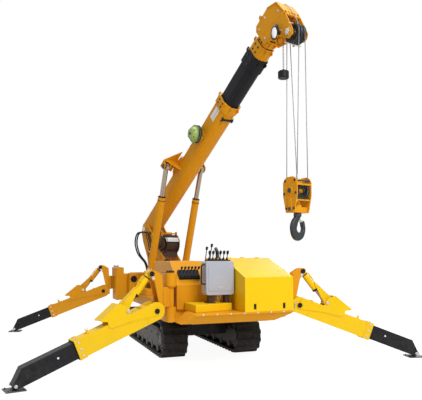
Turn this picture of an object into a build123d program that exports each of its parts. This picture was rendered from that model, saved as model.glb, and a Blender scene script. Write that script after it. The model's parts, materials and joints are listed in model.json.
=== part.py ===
"""Spider crane: a narrow tracked crane that stands on four swinging legs.

Millimetres, +Z up, origin on the ground in the middle of the four foot pads.
The engine end faces -Y and the crane column stands towards +Y.
"""
import os
from math import atan2, cos, degrees, hypot, pi, radians, sin

from build123d import *

os.makedirs("parts", exist_ok=True)

# Ground layout
PAD_X = 2800.0            # foot pad centre, out from the middle plane
PAD_Y = 2560.0            # foot pad centre, along the machine
POST_X = 826.0            # swing post of a leg
POST_Y = 2107.0
RUN = 0.3                 # clearance at seats, pins and slides
SWEEP = 6.0               # clearance beside pieces that move past each other
STEEL = 12.0              # plate thickness of the fabricated frames

# Tracks
TRACK_OUT = 773.0         # outer face of a track
TRACK_WIDTH = 370.0
TRACK_RADIUS = 262.0      # idler end, over the belt without lugs
TRACK_FRONT = -1275.0     # idler centre
TRACK_REAR = 1000.0       # sprocket centre
BELT = 34.0               # belt thickness
LUG = 20.0                # lug height
LUG_COUNT = 48

# Chassis
FRAME_HALF = 560.0        # half width of the upper frame
FRAME_FRONT = -2240.0
FRAME_REAR = 2240.0
FRAME_LOW = 600.0
FRAME_TOP = 780.0
SLEW_Y = 1068.0           # slewing axis
RING_RADIUS = 330.0
RING_TOP = 1010.0

# Engine cover and deck
COVER_X = (30.0, 735.0)
COVER_Y = (-2660.0, -1080.0)
COVER_Z = (FRAME_TOP + RUN, 1480.0)
COVER_NOSE = 1232.0       # height of the upright front face
COVER_SLOPE_END = -1900.0
COVER_SHEET = 5.0
DECK_X = (-770.0, 735.0)
DECK_Y = (-2660.0, -2230.0)
DECK_Z = (640.0, 780.0)

# Legs, in the upright plane of each leg: distance from the post, and height
POST_RADIUS = 58.0
POST_LOW = 700.0
POST_TOP = 1100.0
HIP_R = 256.0             # lift hinge of the leg
HIP_Z = 802.0
CYL_R = 315.0             # upper pin of the leg cylinder
CYL_Z = 1288.0
LEG_SLOPE = 21.0          # the leg falls outwards by this angle at rest
LEG_HEIGHT = 236.0
LEG_WIDTH = 196.0
LEG_END = 1143.0          # mouth of the outer box, from the hip along the leg
LEG_WALL = 8.0
FOOT_END = 1790.0         # upper outer corner of the inner box
INNER_GAP = 7.0           # room between the outer box and the inner one
EYE_S = 372.0             # rod eye on the leg, along it and above its middle
EYE_N = 172.0
PAD_SIDE = 230.0
PAD_THICK = 14.0
PAD_PIN_Z = 58.0
PAD_PIN = 12.0

# Column, boom and hook, in the upright plane of the boom
BOOM_TURN = 14.6          # the boom points this far from -Y towards +X
BOOM_RISE = 36.0
FOOT_BACK = 628.0         # boom foot pin behind the slewing axis
FOOT_Z = 2060.0
RAM_BASE = 14.0           # lower pin of the luffing rams, ahead of the axis
RAM_Z = 1250.0
RAM_SIDE = 376.0
RAM_EYE_S = 1652.0
RAM_EYE_UP = 148.0
RAM_RADIUS = 68.0
RAM_LENGTH = 1420.0
SHEAVE_S = 4974.0
SHEAVE_DOWN = 430.0
SHEAVE_RADIUS = 136.0
GROOVE = 16.0             # depth of a sheave's groove
HOOK_TOP = 2610.0         # top of the hook block
HOOK_LOW = 1720.0         # underside of the hook


def block(x, y, z):
    """A box between a low and a high value on each axis."""
    with Locations(((x[0] + x[1]) / 2, (y[0] + y[1]) / 2, (z[0] + z[1]) / 2)):
        Box(x[1] - x[0], y[1] - y[0], z[1] - z[0])


def save(piece, label):
    piece.part.label = label
    export_step(piece.part, f"parts/{label}.step")


def wheel(centre, axis, radius, width):
    """A plain disc about a horizontal or upright axis."""
    with Locations(Plane(origin=centre, z_dir=axis)):
        Cylinder(radius, width)


# Tracks: one closed belt each, with its lugs in the outline
track_span = TRACK_REAR - TRACK_FRONT
track_mid = (TRACK_REAR + TRACK_FRONT) / 2
track_axle = TRACK_RADIUS + LUG
belt_round = 2 * track_span + 2 * pi * TRACK_RADIUS


def on_belt(run):
    """Place on the belt's outer line, with the direction that points outwards."""
    run = run % belt_round
    half = pi * TRACK_RADIUS
    if run < track_span:
        return TRACK_FRONT + run, track_axle - TRACK_RADIUS, 0.0, -1.0
    run -= track_span
    if run < half:
        turn = run / TRACK_RADIUS
        return (TRACK_REAR + TRACK_RADIUS * sin(turn), track_axle - TRACK_RADIUS * cos(turn),
                sin(turn), -cos(turn))
    run -= half
    if run < track_span:
        return TRACK_REAR - run, track_axle + TRACK_RADIUS, 0.0, 1.0
    turn = (run - track_span) / TRACK_RADIUS
    return (TRACK_FRONT - TRACK_RADIUS * sin(turn), track_axle + TRACK_RADIUS * cos(turn),
            -sin(turn), cos(turn))


lug_pitch = belt_round / LUG_COUNT
LUG_PARTS = ((0.0, 0.0), (0.14, 1.0), (0.46, 1.0), (0.60, 0.0))   # share of pitch, share of lug

for side, name in ((-1, "left"), (1, "right")):
    outer_face = side * TRACK_OUT
    face = Plane(origin=(outer_face, 0, 0), x_dir=(0, 1, 0), z_dir=(1, 0, 0))
    with BuildPart() as track:
        with BuildSketch(face):
            with BuildLine():
                corners = []
                for lug in range(LUG_COUNT):
                    for share, height in LUG_PARTS:
                        y, z, out_y, out_z = on_belt((lug + share) * lug_pitch)
                        corners.append((y + out_y * LUG * height, z + out_z * LUG * height))
                Polyline(*corners, close=True)
            make_face()
            with Locations((track_mid, track_axle)):
                SlotCenterToCenter(track_span, 2 * (TRACK_RADIUS - BELT), mode=Mode.SUBTRACT)
        extrude(amount=-side * TRACK_WIDTH)
    save(track, f"track_{name}")

# Track frames: side beam, idler, sprocket and rollers inside each belt
ROLLER_RADIUS = 62.0
ROLLER_COUNT = 6
BEAM_SIDE = 40.0          # the beam's outer face, in from the belt's edge
BEAM_Z = (150.0, 400.0)
wheel_radius = TRACK_RADIUS - BELT - RUN
roller_z = track_axle - TRACK_RADIUS + BELT + ROLLER_RADIUS + RUN
roller_step = (track_span - 2 * wheel_radius - 60) / (ROLLER_COUNT - 1)

for side, name in ((-1, "left"), (1, "right")):
    near, far = side * (TRACK_OUT - BEAM_SIDE), side * (TRACK_OUT - TRACK_WIDTH + BEAM_SIDE)
    centre_x = (near + far) / 2
    beam_width = abs(near - far)
    with BuildPart() as track_frame:
        block(sorted((near, far)), (TRACK_FRONT + 60, TRACK_REAR - 60), BEAM_Z)
        for y in (TRACK_FRONT, TRACK_REAR):
            wheel((centre_x, y, track_axle), (1, 0, 0), wheel_radius, beam_width - 40)
            wheel((centre_x, y, track_axle), (1, 0, 0), 0.42 * wheel_radius, beam_width + 30)
        for n in range(ROLLER_COUNT):
            y = track_mid + (n - (ROLLER_COUNT - 1) / 2) * roller_step
            wheel((centre_x, y, roller_z), (1, 0, 0), ROLLER_RADIUS, beam_width + 20)
        for n in (-1, 1):
            wheel((centre_x, track_mid + n * track_span / 5, track_axle + TRACK_RADIUS - BELT
                   - ROLLER_RADIUS - RUN), (1, 0, 0), ROLLER_RADIUS, beam_width - 40)
    save(track_frame, f"track_frame_{name}")

# Chassis: car body between the tracks, long upper frame, corner posts for the legs
LUG_THICK = 62.0
LUG_HALF = 74.0
CORNER_X = (742.0, 900.0)
CORNER_Y = (1700.0, 1925.0)
CORNER_Z = (POST_LOW - LUG_THICK - RUN, POST_TOP + LUG_THICK + RUN)
KING_RADIUS = 34.0
CAR_HALF = TRACK_OUT - TRACK_WIDTH - 20
CROSS_Y = ((-760.0, -480.0), (420.0, 700.0))

with BuildPart() as chassis:
    block((-CAR_HALF, CAR_HALF), (-1050, 1250), (270, FRAME_LOW))
    for cross in CROSS_Y:
        reach = TRACK_OUT - TRACK_WIDTH + BEAM_SIDE
        block((-reach, reach), cross, (290, 390))
    block((-FRAME_HALF, FRAME_HALF), (FRAME_FRONT, FRAME_REAR), (FRAME_LOW, FRAME_TOP))
    for side in (-1, 1):
        for end in (-1, 1):
            x = sorted((side * CORNER_X[0], side * CORNER_X[1]))
            y = sorted((end * CORNER_Y[0], end * CORNER_Y[1]))
            block(x, y, CORNER_Z)
            block(sorted((side * (FRAME_HALF - 10), side * CORNER_X[1])), y,
                  (CORNER_Z[0], FRAME_TOP))
            arm_x = (side * POST_X - LUG_HALF, side * POST_X + LUG_HALF)
            arm_y = sorted((end * POST_Y, end * CORNER_Y[0]))
            for low in (CORNER_Z[0], POST_TOP + RUN):
                block(arm_x, arm_y, (low, low + LUG_THICK))
                wheel((side * POST_X, end * POST_Y, low + LUG_THICK / 2), (0, 0, 1), LUG_HALF,
                      LUG_THICK)
            middle = (POST_LOW + POST_TOP) / 2
            wheel((side * POST_X, end * POST_Y, middle), (0, 0, 1), KING_RADIUS,
                  CORNER_Z[1] - CORNER_Z[0] + 24)
save(chassis, "chassis")

# Pedestal under the slewing ring
with BuildPart() as pedestal:
    with BuildSketch(Plane.XY.offset(FRAME_TOP)):
        with Locations((0, SLEW_Y)):
            Rectangle(2 * FRAME_HALF - 60, 860)
        fillet(vertices(), radius=60)
    extrude(amount=120)
    wheel((0, SLEW_Y, (FRAME_TOP + 120 + RING_TOP) / 2), (0, 0, 1), RING_RADIUS,
          RING_TOP - FRAME_TOP - 120)
save(pedestal, "pedestal")

# Front deck: folded skirt round the engine end, with the operator's step
STEP_X = (-620.0, -40.0)
STEP_Y = (-2560.0, -2120.0)
STEP_Z = (DECK_Z[1], 880.0)
SKIRT_TAPER = 70.0
with BuildPart() as front_deck:
    with BuildSketch(Plane.YZ.offset(DECK_X[0])):
        with BuildLine():
            Polyline((DECK_Y[0], DECK_Z[1]), (DECK_Y[0], DECK_Z[1] - 30),
                     (DECK_Y[0] + SKIRT_TAPER, DECK_Z[0]), (FRAME_FRONT - RUN, DECK_Z[0]),
                     (FRAME_FRONT - RUN, DECK_Z[1]), close=True)
        make_face()
    extrude(amount=DECK_X[1] - DECK_X[0])
save(front_deck, "front_deck")

with BuildPart() as step_box:
    block(STEP_X, STEP_Y, STEP_Z)
    fillet(step_box.edges().filter_by(Axis.Y).sort_by(Axis.Z)[-2:], radius=12)
save(step_box, "step_box")

# Engine cover: hollow sheet box, sloping nose, open underneath
with BuildPart() as engine_cover:
    with BuildSketch(Plane.YZ.offset(COVER_X[0])):
        with BuildLine():
            Polyline((COVER_Y[0], COVER_Z[0]), (COVER_Y[0], COVER_NOSE),
                     (COVER_SLOPE_END, COVER_Z[1]), (COVER_Y[1], COVER_Z[1]),
                     (COVER_Y[1], COVER_Z[0]), close=True)
        make_face()
    extrude(amount=COVER_X[1] - COVER_X[0])
    underside = engine_cover.faces().sort_by(Axis.Z)[0]
    offset(amount=-COVER_SHEET, openings=underside)
save(engine_cover, "engine_cover")

with BuildPart() as engine:
    block((160, 610), (-2200, -1350), (FRAME_TOP, 1300))
save(engine, "engine")

# Tank and valve housing on the operator's side
with BuildPart() as side_tank:
    with BuildSketch(Plane.YZ.offset(-700)):
        with BuildLine():
            Polyline((-1980, FRAME_TOP), (-1980, 1120), (-1620, 1440), (-700, 1440),
                     (-700, FRAME_TOP), close=True)
        make_face()
    extrude(amount=560)
save(side_tank, "side_tank")

# Control box on two feet, with its levers
BOX_X = (-392.0, 10.0)
BOX_Y = (-2330.0, -2130.0)
BOX_Z = (990.0, 1448.0)
with BuildPart() as control_box:
    block(BOX_X, BOX_Y, BOX_Z)
    fillet(control_box.edges().filter_by(Axis.Y), radius=36)
    for x in (BOX_X[0] + 60, BOX_X[1] - 110):
        block((x, x + 50), (BOX_Y[0] + 50, BOX_Y[0] + 130), (STEP_Z[1], BOX_Z[0] + 20))
save(control_box, "control_box")

LEVER_COUNT = 6
LEVER_STEP = 52.0
with BuildPart() as levers:
    block((BOX_X[0] + 40, BOX_X[1] - 30), (BOX_Y[0] + 40, BOX_Y[1] - 40),
          (BOX_Z[1], BOX_Z[1] + 16))
    for n in range(LEVER_COUNT):
        x = BOX_X[0] + 75 + n * LEVER_STEP
        wheel((x, (BOX_Y[0] + BOX_Y[1]) / 2, BOX_Z[1] + 70), (0, 0, 1), 6, 120)
        wheel((x, (BOX_Y[0] + BOX_Y[1]) / 2, BOX_Z[1] + 125), (0, 0, 1), 15, 50)
save(levers, "levers")

# Legs
reach = hypot(PAD_X - POST_X, PAD_Y - POST_Y)
CHEEK_IN = LEG_WIDTH / 2 + SWEEP
CHEEK_OUT = CHEEK_IN + 14.0
PLATE_IN = 50.0           # lug plates either side of the rod eye
PLATE_OUT = 64.0
BARREL_RADIUS = 43.0
BARREL_LENGTH = 325.0
ROD_RADIUS = 24.0
INNER_HEIGHT = LEG_HEIGHT - 2 * LEG_WALL - 2 * INNER_GAP
INNER_WIDTH = LEG_WIDTH - 2 * LEG_WALL - 2 * INNER_GAP
INNER_START = 700.0
HIP_PIN = 30.0

LEGS = (                  # name, side along X, end along Y
    ("front_left", -1, -1),
    ("front_right", 1, -1),
    ("rear_left", -1, 1),
    ("rear_right", 1, 1),
)

slope = radians(LEG_SLOPE)
eye_r = HIP_R + EYE_S * cos(slope) + EYE_N * sin(slope)
eye_z = HIP_Z - EYE_S * sin(slope) + EYE_N * cos(slope)

for name, side, end in LEGS:
    heading = atan2(end * (PAD_Y - POST_Y), side * (PAD_X - POST_X))
    out = Vector(cos(heading), sin(heading), 0)
    across = Vector(sin(heading), -cos(heading), 0)
    up = Vector(0, 0, 1)
    post = Vector(side * POST_X, end * POST_Y, 0)
    upright = Plane(origin=post, x_dir=out, z_dir=across)
    hip = post + out * HIP_R + up * HIP_Z
    along = out * cos(slope) - up * sin(slope)
    normal = out * sin(slope) + up * cos(slope)
    leg_plane = Plane(origin=hip, x_dir=along, z_dir=across)

    # Bracket: sleeve on the king pin, cheeks that hold the leg and the cylinder
    with BuildPart() as bracket:
        wheel(post + up * (POST_LOW + POST_TOP) / 2, (0, 0, 1), POST_RADIUS, POST_TOP - POST_LOW)
        with BuildSketch(upright):
            with Locations(((40 + HIP_R - LEG_HEIGHT / 2 - SWEEP) / 2, (POST_LOW + POST_TOP) / 2)):
                Rectangle(HIP_R - LEG_HEIGHT / 2 - SWEEP - 40, POST_TOP - POST_LOW)
        extrude(amount=CHEEK_OUT, both=True)
        with BuildSketch(upright):
            with BuildLine():
                Polyline((60, POST_LOW), (60, POST_TOP), (200, POST_TOP),
                         (CYL_R - 80, CYL_Z + 50), (CYL_R + 50, CYL_Z + 50),
                         (HIP_R + 150, HIP_Z + 20), (HIP_R + 60, HIP_Z - 150), (210, HIP_Z - 150),
                         (170, POST_LOW), close=True)
            make_face()
        extrude(amount=CHEEK_OUT, both=True)
        with BuildSketch(upright):
            with Locations(((HIP_R - LEG_HEIGHT / 2 - SWEEP + 600) / 2, HIP_Z)):
                Rectangle(600 - (HIP_R - LEG_HEIGHT / 2 - SWEEP), 1200)
        extrude(amount=CHEEK_IN, both=True, mode=Mode.SUBTRACT)
        with BuildSketch(upright):
            with Locations((HIP_R, HIP_Z), (CYL_R, CYL_Z)):
                Circle(HIP_PIN)
        extrude(amount=CHEEK_OUT + 14, both=True)
        with BuildSketch(Plane.XY.offset(POST_LOW - 1)):
            with Locations((post.X, post.Y)):
                Circle(KING_RADIUS + RUN)
        extrude(amount=POST_TOP - POST_LOW + 2, mode=Mode.SUBTRACT)
    save(bracket, f"leg_bracket_{name}")

    # Outer leg: welded box with a round root and lug plates for the rod
    with BuildPart() as outer:
        with BuildSketch(leg_plane):
            Circle(LEG_HEIGHT / 2)
            with Locations((LEG_END / 2, 0)):
                Rectangle(LEG_END, LEG_HEIGHT)
        extrude(amount=LEG_WIDTH / 2, both=True)
        with BuildSketch(leg_plane):
            with BuildLine():
                Polyline((EYE_S - 110, LEG_HEIGHT / 2 - 6), (EYE_S - 48, EYE_N + 12),
                         (EYE_S + 25, EYE_N + 100), (EYE_S + 80, EYE_N + 100),
                         (EYE_S + 350, EYE_N + 20), (EYE_S + 390, LEG_HEIGHT / 2 - 6), close=True)
            make_face()
        extrude(amount=PLATE_OUT, both=True)
        with BuildSketch(leg_plane):
            with Locations((EYE_S + 120, EYE_N + 66)):
                Rectangle(500, 2 * (EYE_N + 66 - LEG_HEIGHT / 2))
        extrude(amount=PLATE_IN, both=True, mode=Mode.SUBTRACT)
        with BuildSketch(leg_plane):
            with Locations((LEG_END - 20, 0)):
                Rectangle(40, LEG_HEIGHT + 16)
        extrude(amount=LEG_WIDTH / 2 + 8, both=True)
        with BuildSketch(leg_plane):
            with Locations(((LEG_END + 210) / 2 + 5, 0)):
                Rectangle(LEG_END - 210 + 10, INNER_HEIGHT + 2 * RUN)
        extrude(amount=INNER_WIDTH / 2 + RUN, both=True, mode=Mode.SUBTRACT)
        with BuildSketch(leg_plane):
            with Locations(((LEG_END - 60 + 210) / 2, 0)):
                Rectangle(LEG_END - 60 - 210, LEG_HEIGHT - 2 * LEG_WALL)
        extrude(amount=LEG_WIDTH / 2 - LEG_WALL, both=True, mode=Mode.SUBTRACT)
        with BuildSketch(leg_plane):
            Circle(HIP_PIN + RUN)
        extrude(amount=LEG_WIDTH, both=True, mode=Mode.SUBTRACT)
    save(outer, f"leg_outer_{name}")

    # Inner leg: the dark box that slides out, with a raked end
    pad_s = (reach - HIP_R) * cos(slope) - (PAD_PIN_Z - HIP_Z) * sin(slope)
    pad_n = (reach - HIP_R) * sin(slope) + (PAD_PIN_Z - HIP_Z) * cos(slope)
    with BuildPart() as inner:
        with BuildSketch(leg_plane):
            with BuildLine():
                Polyline((INNER_START, -INNER_HEIGHT / 2), (INNER_START, INNER_HEIGHT / 2),
                         (FOOT_END, INNER_HEIGHT / 2), (pad_s + 34, pad_n + 12),
                         (pad_s + 10, pad_n - 30), (pad_s - 60, -INNER_HEIGHT / 2), close=True)
            make_face()
        extrude(amount=INNER_WIDTH / 2, both=True)
        with BuildSketch(leg_plane):
            with Locations(((INNER_START + FOOT_END) / 2 - 100, 0)):
                Rectangle(FOOT_END - INNER_START - 200, INNER_HEIGHT - 2 * LEG_WALL)
        extrude(amount=INNER_WIDTH / 2 - LEG_WALL, both=True, mode=Mode.SUBTRACT)
        with BuildSketch(upright):
            with Locations((reach, 0)):
                Rectangle(150, 2 * (PAD_THICK + 8))
        extrude(amount=INNER_WIDTH, both=True, mode=Mode.SUBTRACT)
        with BuildSketch(upright):
            with Locations((reach, PAD_PIN_Z)):
                Circle(26 + SWEEP)
            with Locations((reach, PAD_PIN_Z / 2)):
                Rectangle(2 * (26 + SWEEP), PAD_PIN_Z)
        extrude(amount=26, both=True, mode=Mode.SUBTRACT)
        with BuildSketch(upright):
            with Locations((reach, PAD_PIN_Z)):
                Circle(PAD_PIN + RUN)
        extrude(amount=INNER_WIDTH, both=True, mode=Mode.SUBTRACT)
    save(inner, f"leg_inner_{name}")

    # Foot pad with its clevis tongue
    with BuildPart() as pad:
        with BuildSketch(upright):
            with Locations((reach, PAD_THICK / 2)):
                Rectangle(PAD_SIDE, PAD_THICK)
        extrude(amount=PAD_SIDE / 2, both=True)
        with BuildSketch(upright):
            with Locations((reach, PAD_PIN_Z)):
                Circle(26)
            with Locations((reach, (PAD_THICK + PAD_PIN_Z) / 2)):
                Rectangle(52, PAD_PIN_Z - PAD_THICK)
        extrude(amount=20, both=True)
        with BuildSketch(upright):
            with Locations((reach, PAD_PIN_Z)):
                Circle(PAD_PIN)
        extrude(amount=INNER_WIDTH / 2 + 8, both=True)
    save(pad, f"foot_pad_{name}")

    # Cylinder between bracket and leg
    reach_r, reach_z = eye_r - CYL_R, eye_z - CYL_Z
    cyl_length = hypot(reach_r, reach_z)
    push = out * (reach_r / cyl_length) + up * (reach_z / cyl_length)
    top = post + out * CYL_R + up * CYL_Z
    with BuildPart() as barrel:
        wheel(top + push * (BARREL_LENGTH / 2 + 12), push, BARREL_RADIUS, BARREL_LENGTH)
        wheel(top, across, BARREL_RADIUS, 2 * (CHEEK_IN - SWEEP))
        with BuildSketch(Plane(origin=top, z_dir=across)):
            Circle(HIP_PIN + RUN)
        extrude(amount=2 * CHEEK_IN, both=True, mode=Mode.SUBTRACT)
        with BuildSketch(Plane(origin=top + push * 60, z_dir=push)):
            Circle(ROD_RADIUS + RUN)
        extrude(amount=BARREL_LENGTH, mode=Mode.SUBTRACT)
    save(barrel, f"leg_barrel_{name}")

    with BuildPart() as rod:
        start = 265.0
        wheel(top + push * (start + cyl_length) / 2, push, ROD_RADIUS, cyl_length - start)
        wheel(top + push * cyl_length, across, 36, 2 * (PLATE_IN - SWEEP))
        wheel(top + push * cyl_length, across, 20, 2 * (PLATE_IN - RUN))
    save(rod, f"leg_rod_{name}")

# Boom frame
turn = radians(BOOM_TURN)
rise = radians(BOOM_RISE)
ahead = Vector(sin(turn), -cos(turn), 0)
aside = Vector(cos(turn), sin(turn), 0)
skyward = Vector(0, 0, 1)
column = Vector(0, SLEW_Y, 0)
boom_axis = ahead * cos(rise) + skyward * sin(rise)
boom_up = skyward * cos(rise) - ahead * sin(rise)
foot = column - ahead * FOOT_BACK + skyward * FOOT_Z
column_plane = Plane(origin=column, x_dir=ahead, z_dir=-aside)
boom_plane = Plane(origin=foot, x_dir=boom_axis, z_dir=-aside)


TOP_SHARE = 0.08          # upper corner cut of a boom section, as a share of its width
LOW_SHARE = 0.26          # lower corner cut


def boom_section(place, width, height):
    """Eight-sided boom profile across the boom at a distance from its foot pin."""
    top_cut, low_cut = TOP_SHARE * width, LOW_SHARE * width
    with BuildSketch(Plane(origin=foot + boom_axis * place, x_dir=aside, z_dir=boom_axis)) as profile:
        half_w, half_h = width / 2, height / 2
        with BuildLine():
            Polyline((half_w, half_h - top_cut), (half_w - top_cut, half_h),
                     (top_cut - half_w, half_h), (-half_w, half_h - top_cut),
                     (-half_w, low_cut - half_h), (low_cut - half_w, -half_h),
                     (half_w - low_cut, -half_h), (half_w, low_cut - half_h), close=True)
        make_face()
    return profile.sketch


# Turret: slewing deck with two side plates that carry the boom foot and the rams
FOOT_WIDTH = 300.0
TURRET_IN = FOOT_WIDTH / 2 + SWEEP
TURRET_OUT = TURRET_IN + 22.0
RAM_EYE = 60.0            # width of the eyes of the rams
RAM_IN = RAM_SIDE - RAM_RADIUS - SWEEP    # half width that stays clear between the rams
FOOT_PIN = 45.0
with BuildPart() as turret:
    wheel(column + skyward * (RING_TOP + RUN + 50), (0, 0, 1), 400, 100)
    with BuildSketch(column_plane):
        with BuildLine():
            Polyline((330, RING_TOP + 60), (330, 1330), (60, 1560), (-FOOT_BACK + 130, FOOT_Z + 110),
                     (-FOOT_BACK - 60, FOOT_Z + 110), (-FOOT_BACK - 130, FOOT_Z - 60),
                     (-FOOT_BACK - 60, FOOT_Z - 260), (-420, 1330), (-390, RING_TOP + 60),
                     close=True)
        make_face()
    extrude(amount=TURRET_OUT, both=True)
    with BuildSketch(column_plane):
        with Locations((-100, 1900)):
            Rectangle(1800, 2 * (1900 - RING_TOP - 100))
    extrude(amount=TURRET_IN, both=True, mode=Mode.SUBTRACT)
    with BuildSketch(column_plane):
        with Locations((-FOOT_BACK, FOOT_Z)):
            Circle(FOOT_PIN)
    extrude(amount=TURRET_OUT + 20, both=True)
    with BuildSketch(column_plane):
        with Locations((RAM_BASE, RAM_Z)):
            Circle(FOOT_PIN)
    extrude(amount=RAM_SIDE + RAM_EYE / 2 + 12, both=True)
    with BuildSketch(column_plane):
        with Locations((RAM_BASE, RAM_Z)):
            Circle(FOOT_PIN + 30)
    extrude(amount=RAM_IN, both=True)
    with BuildSketch(column_plane):
        with Locations((-300, 1220)):
            Rectangle(60, 300)
    extrude(amount=TURRET_OUT, both=True)
save(turret, "turret")

# Winch between the side plates
WINCH_Z = 1740.0
WINCH_AHEAD = 60.0
with BuildPart() as winch:
    drum = column + ahead * WINCH_AHEAD + skyward * WINCH_Z
    wheel(drum, aside, 130, 250)
    for flange in (-1, 1):
        wheel(drum + aside * flange * 128, aside, 180, 14)
    with BuildSketch(column_plane):
        with BuildLine():
            Polyline((WINCH_AHEAD - 60, 1500), (WINCH_AHEAD + 60, 1500), (WINCH_AHEAD + 30, WINCH_Z),
                     (WINCH_AHEAD - 30, WINCH_Z), close=True)
        make_face()
    extrude(amount=TURRET_IN, both=True)
save(winch, "winch")

# Telescopic boom
SECTIONS = (              # name, width, height, start, end, collar length, next opening
    ("boom_base", 300, 330, -60, 3380, 150),
    ("boom_second", 266, 296, 1100, 4060, 220),
    ("boom_third", 232, 262, 1300, 4290, 190),
    ("boom_fourth", 198, 228, 1500, 4490, 110),
)
BOOM_WALL = 8.0
TIP = (164.0, 194.0)      # width and height of the inmost section
sizes = [(row[1], row[2]) for row in SECTIONS] + [TIP]
MOUTH = 60.0              # length of the close-fitting mouth of a section
TAIL_SOLID = 260.0        # solid foot end of the base section

for number, (name, width, height, start, end, collar) in enumerate(SECTIONS):
    next_width, next_height = sizes[number + 1]
    first = number == 0
    collar_start = end - collar if first else end
    mouth = collar_start + collar
    hollow = start + TAIL_SOLID if first else start - 5
    with BuildPart() as section:
        extrude(boom_section(start, width, height), amount=end - start)
        extrude(boom_section(collar_start, width + 34, height + 34),
                amount=collar)
        if first:
            with BuildSketch(boom_plane):
                with BuildLine():
                    Polyline((RAM_EYE_S - 190, 90), (RAM_EYE_S - 50, RAM_EYE_UP + 50),
                             (RAM_EYE_S + 50, RAM_EYE_UP + 50), (RAM_EYE_S + 330, 90), close=True)
                make_face()
            extrude(amount=RAM_IN, both=True)
            with BuildSketch(boom_plane):
                Circle(FOOT_PIN + RUN)
            extrude(amount=FOOT_WIDTH, both=True, mode=Mode.SUBTRACT)
        extrude(boom_section(hollow, next_width + 2 * RUN, next_height + 2 * RUN), amount=mouth + 10 - hollow, mode=Mode.SUBTRACT)
        extrude(boom_section(hollow, width - 2 * BOOM_WALL, height - 2 * BOOM_WALL), amount=mouth - MOUTH - collar - hollow,
                mode=Mode.SUBTRACT)
    save(section, name)

# Boom head: inmost section with the sheave box
HEAD_START = 4600.0
HEAD_OUT = 150.0
HEAD_PLATE = 14.0
HEAD_IN = HEAD_OUT - HEAD_PLATE
TIP_START = 1700.0
SHEAVE_COUNT = 4
SHEAVE_PITCH = 56.0
SHEAVE_PIN = 32.0
with BuildPart() as boom_head:
    extrude(boom_section(TIP_START, TIP[0], TIP[1]),
            amount=HEAD_START + 40 - TIP_START)
    extrude(boom_section(TIP_START - 5, TIP[0] - 2 * BOOM_WALL, TIP[1] - 2 * BOOM_WALL), amount=HEAD_START - TIP_START, mode=Mode.SUBTRACT)
    with BuildSketch(boom_plane):
        with BuildLine():
            Polyline((HEAD_START, 130), (HEAD_START + 60, 190), (SHEAVE_S + 60, 190),
                     (SHEAVE_S + 140, 60), (SHEAVE_S + 110, -SHEAVE_DOWN - 20),
                     (SHEAVE_S + 40, -SHEAVE_DOWN - 90), (SHEAVE_S - 60, -SHEAVE_DOWN - 80),
                     (SHEAVE_S - 170, -SHEAVE_DOWN + 60), (HEAD_START, -180), close=True)
        make_face()
    extrude(amount=HEAD_OUT, both=True)
    with BuildSketch(boom_plane):
        with BuildLine():
            Polyline((HEAD_START + 30, 90), (SHEAVE_S + 30, 150), (SHEAVE_S + 240, 150),
                     (SHEAVE_S + 240, -SHEAVE_DOWN - 200), (SHEAVE_S - 260, -SHEAVE_DOWN - 200),
                     (SHEAVE_S - 170, -SHEAVE_DOWN + 170), (HEAD_START + 30, -60), close=True)
        make_face()
    extrude(amount=HEAD_IN, both=True, mode=Mode.SUBTRACT)
    with BuildSketch(boom_plane):
        with Locations((SHEAVE_S, -SHEAVE_DOWN)):
            Circle(SHEAVE_PIN)
    extrude(amount=HEAD_OUT + 12, both=True)
save(boom_head, "boom_head")

sheave_axle = foot + boom_axis * SHEAVE_S - boom_up * SHEAVE_DOWN


def sheave(centre, radius, width):
    """A grooved rope pulley across the boom."""
    wheel(centre, aside, radius - GROOVE, width)
    for edge in (-1, 1):
        wheel(centre + aside * edge * (width / 2 - 4), aside, radius, 8)


with BuildPart() as head_sheaves:
    for n in range(SHEAVE_COUNT):
        shift = (n - (SHEAVE_COUNT - 1) / 2) * SHEAVE_PITCH
        sheave(sheave_axle + aside * shift, SHEAVE_RADIUS, 38)
    wheel(sheave_axle, aside, SHEAVE_PIN + 16, 2 * HEAD_IN - 2)
    with Locations(Plane(origin=sheave_axle, z_dir=aside)):
        Cylinder(SHEAVE_PIN + RUN, 400, mode=Mode.SUBTRACT)
save(head_sheaves, "head_sheaves")

# Luffing rams
ram_foot = column + ahead * RAM_BASE + skyward * RAM_Z
ram_eye = foot + boom_axis * RAM_EYE_S + boom_up * RAM_EYE_UP
ram_span = (ram_eye - ram_foot).length
ram_axis = (ram_eye - ram_foot).normalized()
RAM_ROD = 45.0
with BuildPart() as ram_barrels:
    for side in (-1, 1):
        pin = ram_foot + aside * side * RAM_SIDE
        wheel(pin + ram_axis * (RAM_LENGTH + 40) / 2, ram_axis, RAM_RADIUS, RAM_LENGTH - 40)
        wheel(pin, aside, RAM_RADIUS + 12, RAM_EYE)
        with Locations(Plane(origin=pin, z_dir=aside)):
            Cylinder(FOOT_PIN + RUN, 4 * RAM_EYE, mode=Mode.SUBTRACT)
        with Locations(Plane(origin=pin + ram_axis * (RAM_LENGTH / 2 + 130), z_dir=ram_axis)):
            Cylinder(RAM_ROD + RUN, RAM_LENGTH, mode=Mode.SUBTRACT)
save(ram_barrels, "ram_barrels")

with BuildPart() as ram_rods:
    for side in (-1, 1):
        eye = ram_eye + aside * side * RAM_SIDE
        rod_start = 700.0
        pin = ram_foot + aside * side * RAM_SIDE
        wheel(pin + ram_axis * (rod_start + ram_span) / 2, ram_axis, RAM_ROD, ram_span - rod_start)
        wheel(eye, aside, 68, RAM_EYE)
        inner_end = RAM_IN + RUN
        outer_end = RAM_SIDE + RAM_EYE / 2 + 12
        wheel(ram_eye + aside * side * (inner_end + outer_end) / 2, aside, 34,
              outer_end - inner_end)
save(ram_rods, "ram_rods")

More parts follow.
